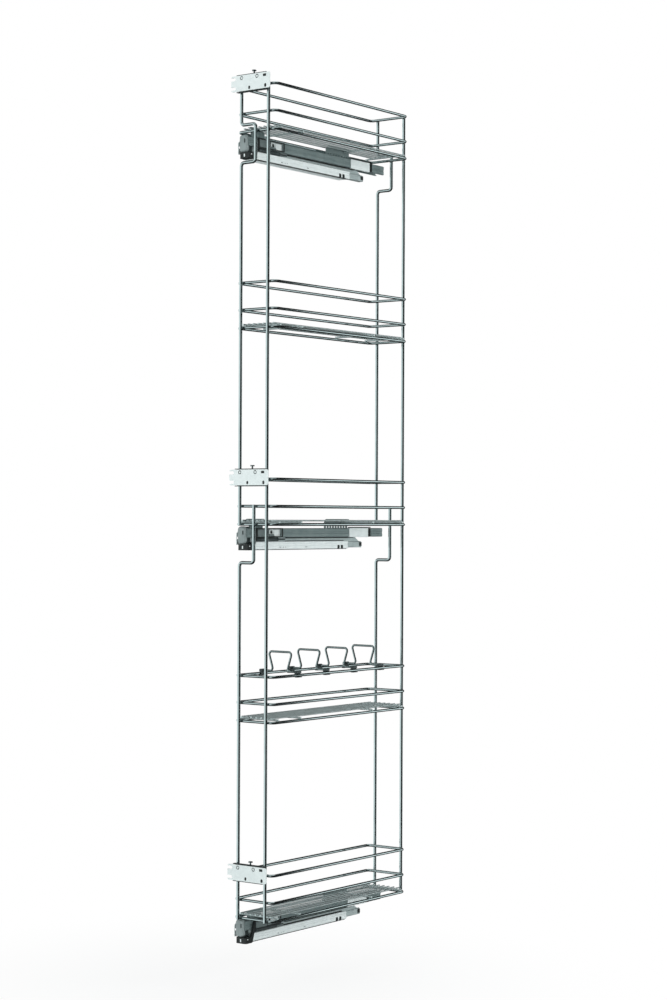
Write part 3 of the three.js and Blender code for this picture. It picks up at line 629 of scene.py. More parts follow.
ring_heights = [span(f"basket_{basket}_{rail}")[1].z for basket in BASKETS for rail in ("top_rail", "middle_rail")]
weld_ys = (
    (front_y + upright_radius + ring_front - rail_radius) / 2, (rear_y - upright_radius + ring_rear + rail_radius) / 2)
frame_welds = [
    ((x, y, z), SIDEWAYS) for z in [*ring_heights, *base_z.values()] for x in upright_xs(z) for y in weld_ys]
floor_places = [(y, z) for z in base_z.values() for y in CROSS_PLACES]
cross_welds = [
    ((x, y, z + rail_radius - WELD_SINK / 2), UPWARDS) for y, z in floor_places for x in (ring_left, ring_right)]
mat_welds = [((x, y, z + mat_rise - MAT_DIAMETER / 2), UPWARDS) for y, z in floor_places for x in mat_xs]
welds = weld_tree()
for name, places, width, thickness, seed in (
        ("frame_welds", frame_welds, 6.4, 3.6, 1),
        ("cross_wire_welds", cross_welds, 5.4, 2.4, 2),
        ("mat_welds", mat_welds, 3.9, 1.8, 3)):
    piece = run_tree(
        facing_points(name, places), welds, Width=width * MM, Thickness=thickness * MM, Seed=seed,
        Finish=bright_wire)
    dress(piece, "pull_out", bright_wire)
    print(name, len(places))

# %% [markdown]
# ## Sheet metal and mouldings
#
# Sheet parts are drawn as the bent strip that they are: a centre line with round bends, thickened to both sides and
# run along the part. Holes are cut with Boolean modifiers, and a small Bevel breaks the edges, because an edge that
# catches no light looks like paper. The same prism helper makes the solid mouldings.

# %% Outlines
NEARLY_STRAIGHT = math.radians(89)


def fillet(corners, radius, steps=5, closed=False):
    """Rounds the inner corners of a flat line."""
    corners = [Vector(corner) for corner in corners]
    line = []
    for index, corner in enumerate(corners):
        last, following = corners[index - 1] - corner, corners[(index + 1) % len(corners)] - corner
        to_last, to_next = last.normalized(), following.normalized()
        half = math.acos(max(-1, min(1, to_last.dot(to_next)))) / 2
        if half > NEARLY_STRAIGHT or not closed and index in (0, len(corners) - 1):
            line.append(corner)
            continue
        bend = min(radius, min(last.length, following.length) / 2 * math.tan(half))
        hub = corner + (to_last + to_next).normalized() * (bend / math.sin(half))
        start = corner + to_last * (bend / math.tan(half)) - hub
        turn = start.angle_signed(corner + to_next * (bend / math.tan(half)) - hub)
        line += [hub + Matrix.Rotation(-turn * step / steps, 2) @ start for step in range(steps + 1)]
    return line


def strip(line, thickness):
    """The outline of a sheet of this thickness whose middle follows a line."""
    sides = ([], [])
    for index, point in enumerate(line):
        along = (line[min(index + 1, len(line) - 1)] - line[max(index - 1, 0)]).normalized()
        across = Vector((-along.y, along.x)) * thickness / 2
        sides[0].append(point + across)
        sides[1].append(point - across)
    return sides[0] + sides[1][::-1]


def rounded_rectangle(x, y, width, height, radius, steps=6):
    right, top = width / 2, height / 2
    corners = [(x - right, y - top), (x + right, y - top), (x + right, y + top), (x - right, y + top)]
    return fillet(corners, radius, steps, closed=True)


# %% [markdown]
# A prism takes an outline drawn across one axis. The axes are picked so that a section of a rail is drawn in x and z,
# a plate that faces the door in x and z, and a cut through the rail's side in y and z.

# %% Solids
BLOCK_CORNER = 0.01
SOLID_SHARP = math.radians(48)
BEVEL_ANGLE = math.radians(40)


def prism(outline, axis, ends, shape=None):
    """A closed solid: an outline run along one axis between two ends. Several prisms can share one shape."""
    shape = shape or bmesh.new()
    place = {
        "x": lambda p, along: (along, p[0], p[1]),
        "y": lambda p, along: (p[0], along, p[1]),
        "z": lambda p, along: (p[0], p[1], along),
    }[axis]
    rims = [[shape.verts.new(place(point, along)) for point in outline] for along in ends]
    faces = [shape.faces.new(rims[0]), shape.faces.new(rims[1][::-1])]
    for index in range(len(outline)):
        after = (index + 1) % len(outline)
        faces.append(shape.faces.new((rims[0][after], rims[0][index], rims[1][index], rims[1][after])))
    bmesh.ops.recalc_face_normals(shape, faces=faces)
    return shape


def slab(axis, ends, x, y, width, height, radius, steps=6, shape=None):
    """A prism whose outline is a rectangle with round corners, round a middle point."""
    return prism(rounded_rectangle(x, y, width, height, radius, steps), axis, ends, shape)


def slabs(axis, ends, x, y, table, steps=6):
    """Slabs from a table: how far each lies from a point, its width, its height and its corner radius."""
    return [slab(axis, ends, x + aside, y + rise, *sizes, steps) for aside, rise, *sizes in table]


def blocks(*corners):
    """Boxes in one shape, each between its lowest and its highest corner."""
    shape = bmesh.new()
    for low, high in corners:
        slab("z", (low[2], high[2]), (low[0] + high[0]) / 2, (low[1] + high[1]) / 2, high[0] - low[0],
             high[1] - low[1], BLOCK_CORNER, 1, shape)
    return shape


# %% [markdown]
# Round parts come off a lathe. Their profile is a list of radius and height pairs, turned round one axis.


# %% Turned solids
def turned(profile, axis, place, sides=24):
    """A turned solid: radius and height pairs, from one end on the axis to the other."""
    shape = bmesh.new()
    turn = {"y": Matrix.Rotation(-math.pi / 2, 4, "X"), "z": Matrix.Identity(4)}[axis]
    move = Matrix.Translation(Vector(place)) @ turn
    rims = []
    for radius, along in profile:
        angles = [2 * math.pi * side / sides for side in range(sides if radius else 1)]
        rims.append([
            shape.verts.new(move @ Vector((radius * math.cos(angle), radius * math.sin(angle), along)))
            for angle in angles])
    for lower, upper in zip(rims, rims[1:]):
        for side in range(sides):
            after = (side + 1) % sides
            corners = [lower[side % len(lower)], lower[after % len(lower)],
                       upper[after % len(upper)], upper[side % len(upper)]]
            corners = [vert for index, vert in enumerate(corners) if vert not in corners[:index]]
            if len(corners) > 2:
                shape.faces.new(corners)
    bmesh.ops.recalc_face_normals(shape, faces=shape.faces)
    return shape


# %% [markdown]
# Every solid ends the same way: what joins it is added, the openings are cut, the edges are broken, and the flat faces
# are kept flat in the light.


# %% Finished solids
def solid_piece(name, shape, look, body, *stands_for, cuts=(), edge=0.25, joins=()):
    """A finished object from a shape in millimetres: joined, cut, with its edges broken, and put on its body."""
    def as_object(label, form):
        form.transform(Matrix.Scale(MM, 4))
        mesh = bpy.data.meshes.new(label)
        form.to_mesh(mesh)
        form.free()
        mesh.materials.append(look)
        return link_piece(label, mesh)

    piece = as_object(name, shape)
    tools = [("UNION", as_object("tool", form)) for form in joins]
    tools += [("DIFFERENCE", as_object("tool", form)) for form in cuts]
    for operation, tool in tools:
        modifier = piece.modifiers.new(operation, "BOOLEAN")
        modifier.operation = operation
        modifier.solver = "EXACT"
        modifier.object = tool
    if edge:
        bevel = piece.modifiers.new("edge", "BEVEL")
        bevel.width = edge * MM
        bevel.segments = 2
        bevel.limit_method = "ANGLE"
        bevel.angle_limit = BEVEL_ANGLE
        bevel.use_clamp_overlap = True
    plain_mesh(piece)
    for _, tool in tools:
        bpy.data.objects.remove(tool)
    piece.data.shade_smooth()
    piece.data.set_sharp_from_angle(angle=SOLID_SHARP)
    flat = piece.modifiers.new("flat faces", "WEIGHTED_NORMAL")
    flat.keep_sharp = True
    flat.weight = 100
    dress(plain_mesh(piece), body, look, *stands_for)


# %% [markdown]
# ## Runners
#
# A runner is three nested rails. The cabinet rail is a channel spot welded to an angle that is screwed to the cabinet
# side. The middle rail runs in it on balls and carries the carrier rail, which hangs under the basket floor on two
# hooked plates. All heights are measured from the basket's base rail.

# %% Runner sizes
SHEET = 1.5
BEND = 1.4
CHANNEL_FLOOR = -52
CHANNEL_TOP = -35.5
FLANGE_TOP = -14
CARRIER_TOP = -8
CARRIER_BOTTOM = -27
LIP = 4
FLANGE_LEAD = 16
FLANGE_TAIL = 54
half_sheet = SHEET / 2
(cabinet_low, _, cabinet_high), (slide_low, _, slide_high), (carrier_low, _, carrier_high) = (
    span(f"top_{rail}_rail") for rail in ("cabinet", "middle", "carrier"))
runner_left, runner_right = carrier_low.x, cabinet_high.x
runner_middle = (runner_left + runner_right) / 2
lead_start, rail_end = cabinet_low.y, cabinet_high.y
rail_start, channel_end = lead_start + FLANGE_LEAD, rail_end - FLANGE_TAIL
carrier_start, carrier_end = carrier_low.y, carrier_high.y
slide_start, slide_end = slide_low.y, slide_high.y


def lift(points, z):
    return [(x, y + z) for x, y in points]


def both_sides(half):
    """A runner's section from its left half, listed downwards: distances from the runner's side, and heights."""
    return [(runner_left + x, z) for x, z in half] + [(runner_right - x, z) for x, z in half[::-1]]


def sheet_rail(line, z, ends, bend=BEND, thickness=SHEET, axis="y"):
    """A part bent from sheet: its section's middle line, run along an axis."""
    return prism(strip(fillet(lift(line, z), bend), thickness), axis, ends)


# %% [markdown]
# The cabinet rail is two bent sheets, because it is two on the real runner: the angle with its row of fixing slots,
# and the channel that the slide runs in. The channel has two notches near its end with black blocks behind them, a few
# punched marks, and a dark strip along its foot. The black blocks and the dark strip are painted shade.

# %% Cabinet rails
SLOT_PITCH = 96
SLOT_COUNT = 4
SLOT_RISE = 24
FIXING_SLOTS = [(0, 0, 10, 5.2, 2.58), (32, 5, 4.2, 4.2, 2.08), (32, -7, 4.2, 4.2, 2.08)]
LEAD_BOTTOM = -42
NOTCH_PLACES = [channel_end - 34, channel_end - 22]
NOTCH_HALF = 4.2
MARK_RISE = 4.5
MARKS = [(101, 0, 5, 2, 0.95), (112, 0, 3, 2, 0.95), (119, 0, 3, 2, 0.95), (190, 0, 8, 1.5, 0.7)]
TAB_PLACES = [(58, 22), (286, 48)]


# Painted shade: a dark strip that darkens the foot of the channel.
def foot_shade_strip(level, z):
    """The dark strip under the channel's outer edge, whose dark colour is painted shade along the channel's foot."""
    foot = z + CHANNEL_FLOOR
    shape = blocks(
        ((runner_right - 6, rail_start + 4, foot - 0.95), (runner_right - 0.3, channel_end - 6, foot + 0.02)))
    solid_piece(f"{level}_base_strip", shape, dark_steel_painted_shade, "root", f"{level}_cabinet_rail", edge=0.15)


# Painted shade: black blocks that make the two notches read dark.
def notch_shade_blocks(level, z):
    """Black blocks that fill the two notches from inside: painted shade in the notches."""
    foot = z + CHANNEL_FLOOR
    shape = blocks(*[
        ((runner_right - 1.45, y - 4.1, foot + 0.2), (runner_right - 0.6, y + 4.1, foot + 7.9))
        for y in NOTCH_PLACES])
    solid_piece(f"{level}_notch_stops", shape, moulded_black, "root", edge=0)


# %% [markdown]
# The angle's lower leg is only as long as the channel. Its upright leg runs on to the rear and a little to the front.


# %% The angle
def cabinet_angle(level, z):
    """The angle that is screwed to the cabinet side, with its fixing slots. Only its upright leg is full length."""
    foot, top = z + CHANNEL_FLOOR, z + FLANGE_TOP
    inner = runner_left - half_sheet
    line = [
        (half_sheet, FLANGE_TOP), (half_sheet, CHANNEL_FLOOR + half_sheet), (inner, CHANNEL_FLOOR + half_sheet),
        (inner, CHANNEL_FLOOR + 9)]
    corner = fillet(
        [(lead_start - 1, top + 1), (lead_start - 1, top - 6), (lead_start + 7, top + 1)], 0.1, 1, closed=True)
    cuts = [
        prism(corner, "x", (-5, 5)),
        blocks(((-5, channel_end, foot - 5), (runner_left + 5, rail_end + 5, z + CHANNEL_TOP))),
        blocks(((-5, lead_start - 5, foot - 5), (runner_left + 5, rail_start, z + LEAD_BOTTOM)))]
    for index in range(SLOT_COUNT):
        cuts += slabs("x", (-2, 4), index * SLOT_PITCH, foot + SLOT_RISE, FIXING_SLOTS)
    shape = sheet_rail(line, z, (lead_start, rail_end))
    solid_piece(f"{level}_cabinet_angle", shape, zinc_sheet, "root", f"{level}_cabinet_rail", cuts=cuts)


# %% [markdown]
# The channel has a shallow groove pressed into each side, which guides the balls.


# %% The channel
def cabinet_channel(level, z):
    """The channel that the middle rail runs in, with a ball groove in each side and two notches near its end."""
    groove, foot = half_sheet + 0.7, z + CHANNEL_FLOOR
    through = (runner_right - 2.6, runner_right + 2)
    half = [
        (LIP, CHANNEL_TOP - half_sheet), (half_sheet, CHANNEL_TOP - half_sheet), (half_sheet, CHANNEL_TOP - 4),
        (groove, CHANNEL_TOP - 5), (groove, CHANNEL_TOP - 9), (half_sheet, CHANNEL_TOP - 10),
        (half_sheet, CHANNEL_FLOOR + half_sheet)]
    cuts = []
    for y in NOTCH_PLACES:
        start, end = y - NOTCH_HALF, y + NOTCH_HALF
        arch = fillet([(start, foot - 2), (start, foot + 8.0), (end, foot + 8.0), (end, foot - 2)], 2.6)
        cuts.append(prism(arch, "x", through))
    cuts += slabs("x", through, 0, foot + MARK_RISE, MARKS)
    tabs = [
        blocks(((runner_right - 9, y, foot - 0.9), (runner_right - 1, y + length, foot + 0.5)))
        for y, length in TAB_PLACES]
    shape = sheet_rail(both_sides(half), z, (rail_start, channel_end), bend=1.1)
    solid_piece(
        f"{level}_cabinet_channel", shape, zinc_sheet, "root", f"{level}_cabinet_rail", cuts=cuts, edge=0.2,
        joins=tabs)


for level, z in level_z.items():
    for make in (foot_shade_strip, notch_shade_blocks, cabinet_angle, cabinet_channel):
        make(level, z)
print(f"cabinet rails {channel_end - rail_start:.0f} mm long")

# %% [markdown]
# The middle rail is a hollow section with a head in each of the other two rails. Its section is drawn twice, the
# second time inside the first, and the inner one is cut out.

# %% Middle rails
HEAD_INSET = 5.6
NECK_HALF = 4.0
HEAD_PLAY = 2.0
MIDDLE_WALL = 1.2
SLANT = 22


def middle_section(z, inset, bend):
    """The outline of the middle rail's section, this far inside its outer face."""
    head, neck = HEAD_INSET + inset, runner_middle - runner_left - NECK_HALF + inset
    upper, lower = CARRIER_BOTTOM + HEAD_PLAY + inset, CHANNEL_TOP - HEAD_PLAY - inset
    half = [
        (head, CARRIER_TOP - HEAD_PLAY - inset), (head, upper), (neck, upper), (neck, lower), (head, lower),
        (head, CHANNEL_FLOOR + HEAD_PLAY + inset)]
    return fillet(lift(both_sides(half), z), bend, closed=True)


def middle_rail(level, z):
    """The hollow rail, with its upper head cut away on a slant at the rear."""
    above, below = CARRIER_TOP + 3, CHANNEL_TOP - HEAD_PLAY + 1
    slant = [
        (slide_end - SLANT, above), (slide_end - SLANT, CARRIER_BOTTOM), (slide_end - 7, below),
        (slide_end + 5, below), (slide_end + 5, above)]
    cuts = [
        prism(middle_section(z, MIDDLE_WALL, 0.8), "y", (slide_start - 5, slide_end + 5)),
        prism(lift(slant, z), "x", (runner_left - 5, runner_right + 5))]
    shape = prism(middle_section(z, 0, 1.6), "y", (slide_start, slide_end))
    solid_piece(
        f"{level}_middle_rail_section", shape, slide_zinc_painted_shade, f"{level}_slide", f"{level}_middle_rail", cuts=cuts,
        edge=0.2)


# %% [markdown]
# Rows of balls run between the heads and the side walls of the two other rails, held at one pitch by a thin cage. A
# tree sets a ball on every point and lays the cage between them.

# %% Balls and cages
BALL_DIAMETER = 3.9
BALL_PITCH = 14
CAGE = Vector((0.8, BALL_PITCH - 0.02, 5.2))
BALL_ROWS = [
    ((CHANNEL_FLOOR + CHANNEL_TOP) / 2 - 0.5, slide_start + 20, channel_end - 40),
    ((CARRIER_TOP + CARRIER_BOTTOM) / 2, slide_start + 60, slide_end - 30)]


def ball_tree():
    """Balls at one pitch along a line, and the cage strip that holds them."""
    tree, given, result = geometry_tree(
        "ball row", Ball="Float", Pitch="Float", Cage="Vector", Ball_Finish="Material", Cage_Finish="Material")
    line = add(tree, "GeometryNodeMeshToCurve", Mesh=given["Geometry"])
    stops = add(
        tree, "GeometryNodeResampleCurve", settings={"mode": "LENGTH"}, Curve=line, Length=given["Pitch"])

    def row(shape, look):
        repeated = add(tree, "GeometryNodeInstanceOnPoints", Points=stops, Instance=shape)
        return add(tree, "GeometryNodeSetMaterial", Geometry=repeated, Material=given[look])

    radius = multiply(tree, given["Ball"], 0.5)
    balls = row(add(tree, "GeometryNodeMeshUVSphere", Segments=14, Rings=8, Radius=radius), "Ball Finish")
    both = add(tree, "GeometryNodeJoinGeometry", balls)
    plug(tree, both.inputs[0], row(add(tree, "GeometryNodeMeshCube", Size=given["Cage"]), "Cage Finish"))
    shaded = add(tree, "GeometryNodeSetShadeSmooth", Geometry=both, Shade_Smooth=True)
    plug(tree, result, add(tree, "GeometryNodeRealizeInstances", Geometry=shaded))
    return tree


def ball_cages(level, z):
    """Four rows of balls: one on each side of each head."""
    side = (SHEET + HEAD_INSET) / 2
    points = [
        (x, y, z + rise) for rise, start, end in BALL_ROWS for x in (runner_left + side, runner_right - side)
        for y in (start, end)]
    rows = point_piece(f"{level}_ball_cages", points, [(index, index + 1) for index in range(0, len(points), 2)])
    piece = run_tree(
        rows, ball_row, Ball=BALL_DIAMETER * MM, Pitch=BALL_PITCH * MM, Cage=CAGE * MM, Ball_Finish=screw_steel,
        Cage_Finish=moulded_black)
    piece.data.set_sharp_from_angle(angle=WIRE_SHARP)
    dress(piece, f"{level}_slide", screw_steel)


# %% [markdown]
# Black mouldings ride on the middle rail: a rack that keeps the two cages in step, and a buffer at its rear end.

# %% Rail mouldings
SYNC_START, SYNC_END = 128, channel_end - 8
RACK_PITCH = 12


def rail_mouldings(level, z):
    """The rack with its teeth, a strip of painted shade above it, and the buffer that fills the lower head's end."""
    inner, outer = runner_middle + NECK_HALF - 0.2, runner_right - 6
    foot, bar, upper = z + CHANNEL_FLOOR, z + CHANNEL_TOP, z + CARRIER_BOTTOM
    teeth = [SYNC_START + 3 + index * RACK_PITCH for index in range(int((SYNC_END - SYNC_START) / RACK_PITCH))]
    # The second block is a strip just under the carrier rail; its black is painted shade for the gap under the carrier.
    shape = blocks(
        ((inner, SYNC_START, bar - 0.6), (outer, SYNC_END, bar + 1.4)),
        ((inner, SYNC_START, upper - 2.2), (outer + 3, slide_end - SLANT - 12, upper - 0.3)),
        *[((outer - 0.2, y, bar + 0.1), (outer + 1.4, y + 5, bar + 1.3)) for y in teeth],
        ((runner_left + HEAD_INSET - 0.6, slide_end - 9, foot + HEAD_PLAY + 3),
         (runner_right - HEAD_INSET + 0.6, slide_end - 0.2, bar - HEAD_PLAY - 1.4)))
    solid_piece(f"{level}_rail_mouldings", shape, moulded_black, f"{level}_slide", edge=0.3)


ball_row = ball_tree()
for level, z in level_z.items():
    for make in (middle_rail, ball_cages, rail_mouldings):
        make(level, z)
print(f"middle rails {slide_end - slide_start:.0f} mm long")

# %% [markdown]
# The carrier rail is a channel turned over, with a long shallow groove that stiffens its side. Two plates stand on it
# and hook over one mat wire: a short plain one in front and a long perforated one at the back. A bright cover is
# folded over its rear end, with a black strip on top, and a bright catch plate closes the window near its front.

# %% Carrier rails
WINDOW = (front_y + 79.4, 42, 14)
SLIT = (carrier_end - 49.6, 5, 15)
HANGER_X = middle_x - 2.5 * MAT_PITCH
HANGER_SHEET = 2.0
HANGERS = {"front": (front_y + 27, 44, 14, 0), "rear": (front_y + 282, 82, 0, 8)}
HOLE_SIZE, HOLE_PITCH = 4.5, 9.5
COVER_START, COVER_LENGTH = SLIT[0] - 74, 69
BLACK_STRIP_END = SLIT[0] + SLIT[1] - 0.3
CATCH_OPENINGS = [(13.5, 1.6, 8.0, 7.0, 0.8), (21.5, 1.0, 1.4, 11.0, 0.5)]
hook_z = mat_rise + MAT_DIAMETER / 2 + 0.3 + HANGER_SHEET / 2 - 0.25
carrier_middle = (CARRIER_TOP + CARRIER_BOTTOM) / 2
through_side = (runner_right - 3, runner_right + 3)


def carrier_channel(level, z):
    groove, bottom = half_sheet + 0.7, CARRIER_BOTTOM + half_sheet
    half = [
        (LIP, bottom), (half_sheet, bottom), (half_sheet, carrier_middle - 3), (groove, carrier_middle - 2.2),
        (groove, carrier_middle + 1.2), (half_sheet, carrier_middle + 2), (half_sheet, CARRIER_TOP - half_sheet)]
    cuts = [
        slab("x", through_side, start + length / 2, z + carrier_middle, length, height, 0.8)
        for start, length, height in (WINDOW, SLIT)]
    shape = sheet_rail(both_sides(half), z, (carrier_start, carrier_end), bend=1.2)
    solid_piece(
        f"{level}_carrier_channel", shape, rail_grey, "pull_out", f"{level}_carrier_rail", cuts=cuts, edge=0.2)


# %% [markdown]
# The hangers are bent from thicker sheet. They leave room for the cross wires, and the rear one has a row of square
# holes.


# %% Hangers
def hangers(level, z):
    """The plates that stand on the carrier rail and hook over a mat wire, with slanting ends. A hook can start in
    front of its plate."""
    through = (HANGER_X - 3, HANGER_X + 3)
    line = [(HANGER_X, CARRIER_TOP + 0.02), (HANGER_X, hook_z), (HANGER_X + 8.9, hook_z)]
    top = z + hook_z + 3
    for name, (start, length, hook_lead, holes) in HANGERS.items():
        hook_start, end = start - hook_lead, start + length
        cuts = []
        if hook_lead:
            cuts.append(blocks((
                (through[0], hook_start - 2, z + CARRIER_TOP - 2), (through[1], start, z + hook_z - HANGER_SHEET / 2))))
        for y, outward in ((hook_start, -1), (end, 1)):
            corner = [(y - outward * 7, top), (y + outward, z + hook_z - 8), (y + 2 * outward, top)]
            cuts.append(prism(corner, "x", (HANGER_X - 5, HANGER_X + 12)))
        cuts += [slab("x", through, y, z + cross_rise, 4.8, 4.8, 2.3) for y in CROSS_PLACES if start < y < end]
        cuts += [
            slab("x", through, start + length / 2 + (index - (holes - 1) / 2) * HOLE_PITCH,
                 z + (CARRIER_TOP - rail_radius) / 2, HOLE_SIZE, HOLE_SIZE, 0.5, 2)
            for index in range(holes)]
        shape = sheet_rail(line, z, (hook_start, end), bend=1.6, thickness=HANGER_SHEET - 0.3)
        solid_piece(
            f"{level}_{name}_hanger", shape, rail_grey, "pull_out", f"{level}_carrier_rail", cuts=cuts, edge=0.2)


# %% [markdown]
# Three small parts finish the carrier rail. They are set a few tenths of a millimetre into it or on it.


# %% Covers, black strips and catch plates
def rear_cover(level, z):
    """A bright cover near the rear end of the carrier rail, folded over its top and bottom."""
    inner, outer, top, bottom = runner_right - 4.5, runner_right + 0.5, CARRIER_TOP + 0.2, CARRIER_BOTTOM - 0.2
    line = [(inner, top), (outer, top), (outer, bottom), (inner, bottom)]
    shape = sheet_rail(line, z, (COVER_START, COVER_START + COVER_LENGTH), bend=1.0, thickness=0.9)
    solid_piece(f"{level}_rear_cover", shape, zinc_sheet, "pull_out", f"{level}_carrier_rail", edge=0.15)


# A black strip along the top of the cover, and a black fill in the slit behind it.
def rear_black_strip(level, z):
    """A black moulding that lies along the top of the cover and closes the slit behind it."""
    top = z + CARRIER_TOP
    shape = blocks(
        ((runner_right - 1.2, SLIT[0] - 4.4, z + CARRIER_BOTTOM + 0.4), (runner_right + 0.35, BLACK_STRIP_END, top)),
        ((runner_right - 3, COVER_START, top + 0.66), (runner_right + 0.6, BLACK_STRIP_END, top + 2.6)))
    solid_piece(f"{level}_rear_seal", shape, moulded_black, "pull_out", edge=0.15)


def catch_plate(level, z):
    """The bright plate in the carrier's window that the lever's catch drops into: its square hole and its slit."""
    start, length, height = WINDOW
    middle = z + carrier_middle
    shape = blocks((
        (runner_right - 1.3, start + 0.3, middle - height / 2 + 0.3),
        (runner_right - 0.3, start + length - 0.3, middle + height / 2 - 0.3)))
    openings = slabs("x", through_side, start, middle, CATCH_OPENINGS, 2)
    solid_piece(f"{level}_catch_plate", shape, zinc_sheet, "pull_out", cuts=openings, edge=0.15)


for level, z in level_z.items():
    for make in (carrier_channel, hangers, rear_cover, rear_black_strip, catch_plate):
        make(level, z)
print(f"carrier rails {carrier_end - carrier_start:.0f} mm long")

# %% [markdown]
# ## Front caps, levers and dampers
#
# The cap is two mouldings: a dark housing, and a pale shell in front of it that is lofted, with the same rounded
# outline repeated a little smaller towards the front so that its face is crowned. A slot in its face is filled with
# black a little behind its face, which is painted shade.

# %% Front caps
CAP_CORNER = 6.5
CAP_STEPS = 8
CAP_CROWN = 3.2
SHELL_DEPTH = 7
SLOT_ASIDE, SLOT_UP = 5.2, 5.0


def front_shell(level, low, middle, high):
    """The lofted shell with the slot in its face."""
    shape = bmesh.new()
    rims = []
    for step in range(CAP_STEPS + 1):
        share = step / CAP_STEPS
        inset = CAP_CROWN * (1 - math.sqrt(1 - (0.98 * share) ** 2))
        outline = rounded_rectangle(
            middle.x, middle.z, high.x - low.x - 2 * inset, high.z - low.z - 2 * inset, CAP_CORNER - inset * 0.6, 8)
        rims.append([shape.verts.new((x, low.y + SHELL_DEPTH * (1 - share), z)) for x, z in outline])
    for back, front in zip(rims, rims[1:]):
        for index in range(len(back)):
            after = (index + 1) % len(back)
            shape.faces.new((back[index], back[after], front[after], front[index]))
    shape.faces.new(rims[0])
    shape.faces.new(rims[-1][::-1])
    bmesh.ops.recalc_face_normals(shape, faces=shape.faces)
    slot = slab("y", (low.y - 4, low.y + 5), middle.x + SLOT_ASIDE, middle.z + SLOT_UP, 3.2, 9, 1.5)
    solid_piece(f"{level}_cap_shell", shape, moulded_grey, "pull_out", f"{level}_front_cap", cuts=[slot])


def cap_housing(level, low, middle, high):
    """The dark part behind the shell, with a hollow in its right side that narrows downwards."""
    start, end, foot, top = low.y + SHELL_DEPTH, high.y - 3, low.z + 5, middle.z - 2
    hollow = fillet([(start + 1.6, foot), (end, foot), (end, top), (start + 4.4, top)], 1.2, closed=True)
    shape = slab(
        "y", (start + 0.4, high.y), middle.x, middle.z, high.x - low.x - 0.8, high.z - low.z - 0.8, CAP_CORNER - 0.6)
    solid_piece(
        f"{level}_cap_housing", shape, moulded_dark, "pull_out", f"{level}_front_cap",
        cuts=[prism(hollow, "x", (high.x - 2.2, high.x + 2))], edge=0.3)


# Painted shade: a black fill a little inside the cap's slot.
def slot_shade_fill(level, low, middle, high):
    """The black fill a little inside the shell's slot: painted shade in the slot."""
    shade_fill = slab("y", (low.y + 1.2, low.y + 4.9), middle.x + SLOT_ASIDE, middle.z + SLOT_UP, 3.1, 8.9, 1.45)
    solid_piece(f"{level}_slot_lining", shade_fill, moulded_black, "pull_out", edge=0)


# %% [markdown]
# The release lever is black: a finger grip below the cap, an arm, and a frame round the window of the carrier rail
# with a dark grey housing set into it. It is one prism seen from the side, with its openings cut, because that is how
# such a part leaves its mould.

# %% Release levers
GRIP_HEIGHT = 12.5
FRAME_START, FRAME_END = front_y + 39.4, front_y + 125.4
LEVER_BAR = 2.2
PIVOT_BAR = 2.8
PLATE_DEPTH = 4.0
HOUSING_END = WINDOW[0] - 1.5
SLEEVE_RADIUS = 3.4


def release_lever(level, z):
    """The black moulding, with four grooves under the finger."""
    low, _, high = span(f"{level}_release_lever")
    _, cap_middle, cap_high = span(f"{level}_front_cap")
    top, bottom = z + CARRIER_TOP + 0.5, z + CARRIER_BOTTOM
    left, grip_top = high.x - PLATE_DEPTH, low.z + GRIP_HEIGHT
    profile = [
        (low.y, low.z), (cap_high.y + 4, low.z), (FRAME_START, bottom), (FRAME_END, bottom), (FRAME_END, top),
        (FRAME_START, top), (cap_high.y, grip_top), (low.y, grip_top)]
    grip = slab(
        "z", (low.z, grip_top), (low.x + left + 2) / 2, (low.y + cap_high.y) / 2, left + 2 - low.x,
        cap_high.y - low.y, 3.4)
    cuts = [
        slab("x", (left - 3, high.x + 3), (WINDOW[0] + FRAME_END - PIVOT_BAR) / 2, (top + bottom) / 2,
             FRAME_END - PIVOT_BAR - WINDOW[0], top - bottom - 2 * LEVER_BAR, 1.0),
        slab("x", (high.x - 1.6, high.x + 3), (FRAME_START + 2 + HOUSING_END) / 2, (top + bottom) / 2 - 0.6,
             HOUSING_END - FRAME_START - 2, top - bottom - 3.6, 1.2),
        blocks(((left - 2, WINDOW[0] - 1, bottom - 2), (high.x - 1.6, FRAME_END + 2, top + 2)))]
    cuts += [
        slab("z", (low.z - 1, low.z + 0.7), cap_middle.x, low.y + 2.4 + index * 2.2, 15, 0.9, 0.4, 2)
        for index in range(4)]
    shape = prism(fillet(profile, 2.2, closed=True), "x", (left + 0.02, high.x))
    solid_piece(
        f"{level}_lever", shape, moulded_black, f"{level}_lever", f"{level}_release_lever", cuts=cuts, edge=0.35,
        joins=[grip])


# %% [markdown]
# The housing is a second moulding that carries the catch and its spring. Two small bright zinc blocks sit in the grip.


# %% Lever housings and bright marks
def lever_housing(level, z):
    """The grey housing in the lever's frame: a plate, and the round sleeve of the catch spring below the window."""
    right = span(f"{level}_release_lever")[2].x
    top, bottom = z + CARRIER_TOP + 0.5, z + CARRIER_BOTTOM
    plate = blocks(
        ((right - 1.8, FRAME_START + 3.4, bottom + 1.6), (right - 0.5, HOUSING_END - 0.2, top - 2.9)),
        ((right - 0.8, FRAME_START + 6, top - 7.2), (right - 0.15, HOUSING_END - 4, top - 6.2)))
    profile = [
        (0, 0), (SLEEVE_RADIUS - 0.8, 0), (SLEEVE_RADIUS, 1.0), (SLEEVE_RADIUS, 50), (SLEEVE_RADIUS - 0.9, 51),
        (SLEEVE_RADIUS - 0.9, 53.5), (0, 54)]
    sleeve = turned(profile, "y", (right - SLEEVE_RADIUS, FRAME_START + 5, bottom + SLEEVE_RADIUS + 0.1), 20)
    solid_piece(f"{level}_lever_housing", plate, moulded_mid, f"{level}_lever", edge=0.2, joins=[sleeve])


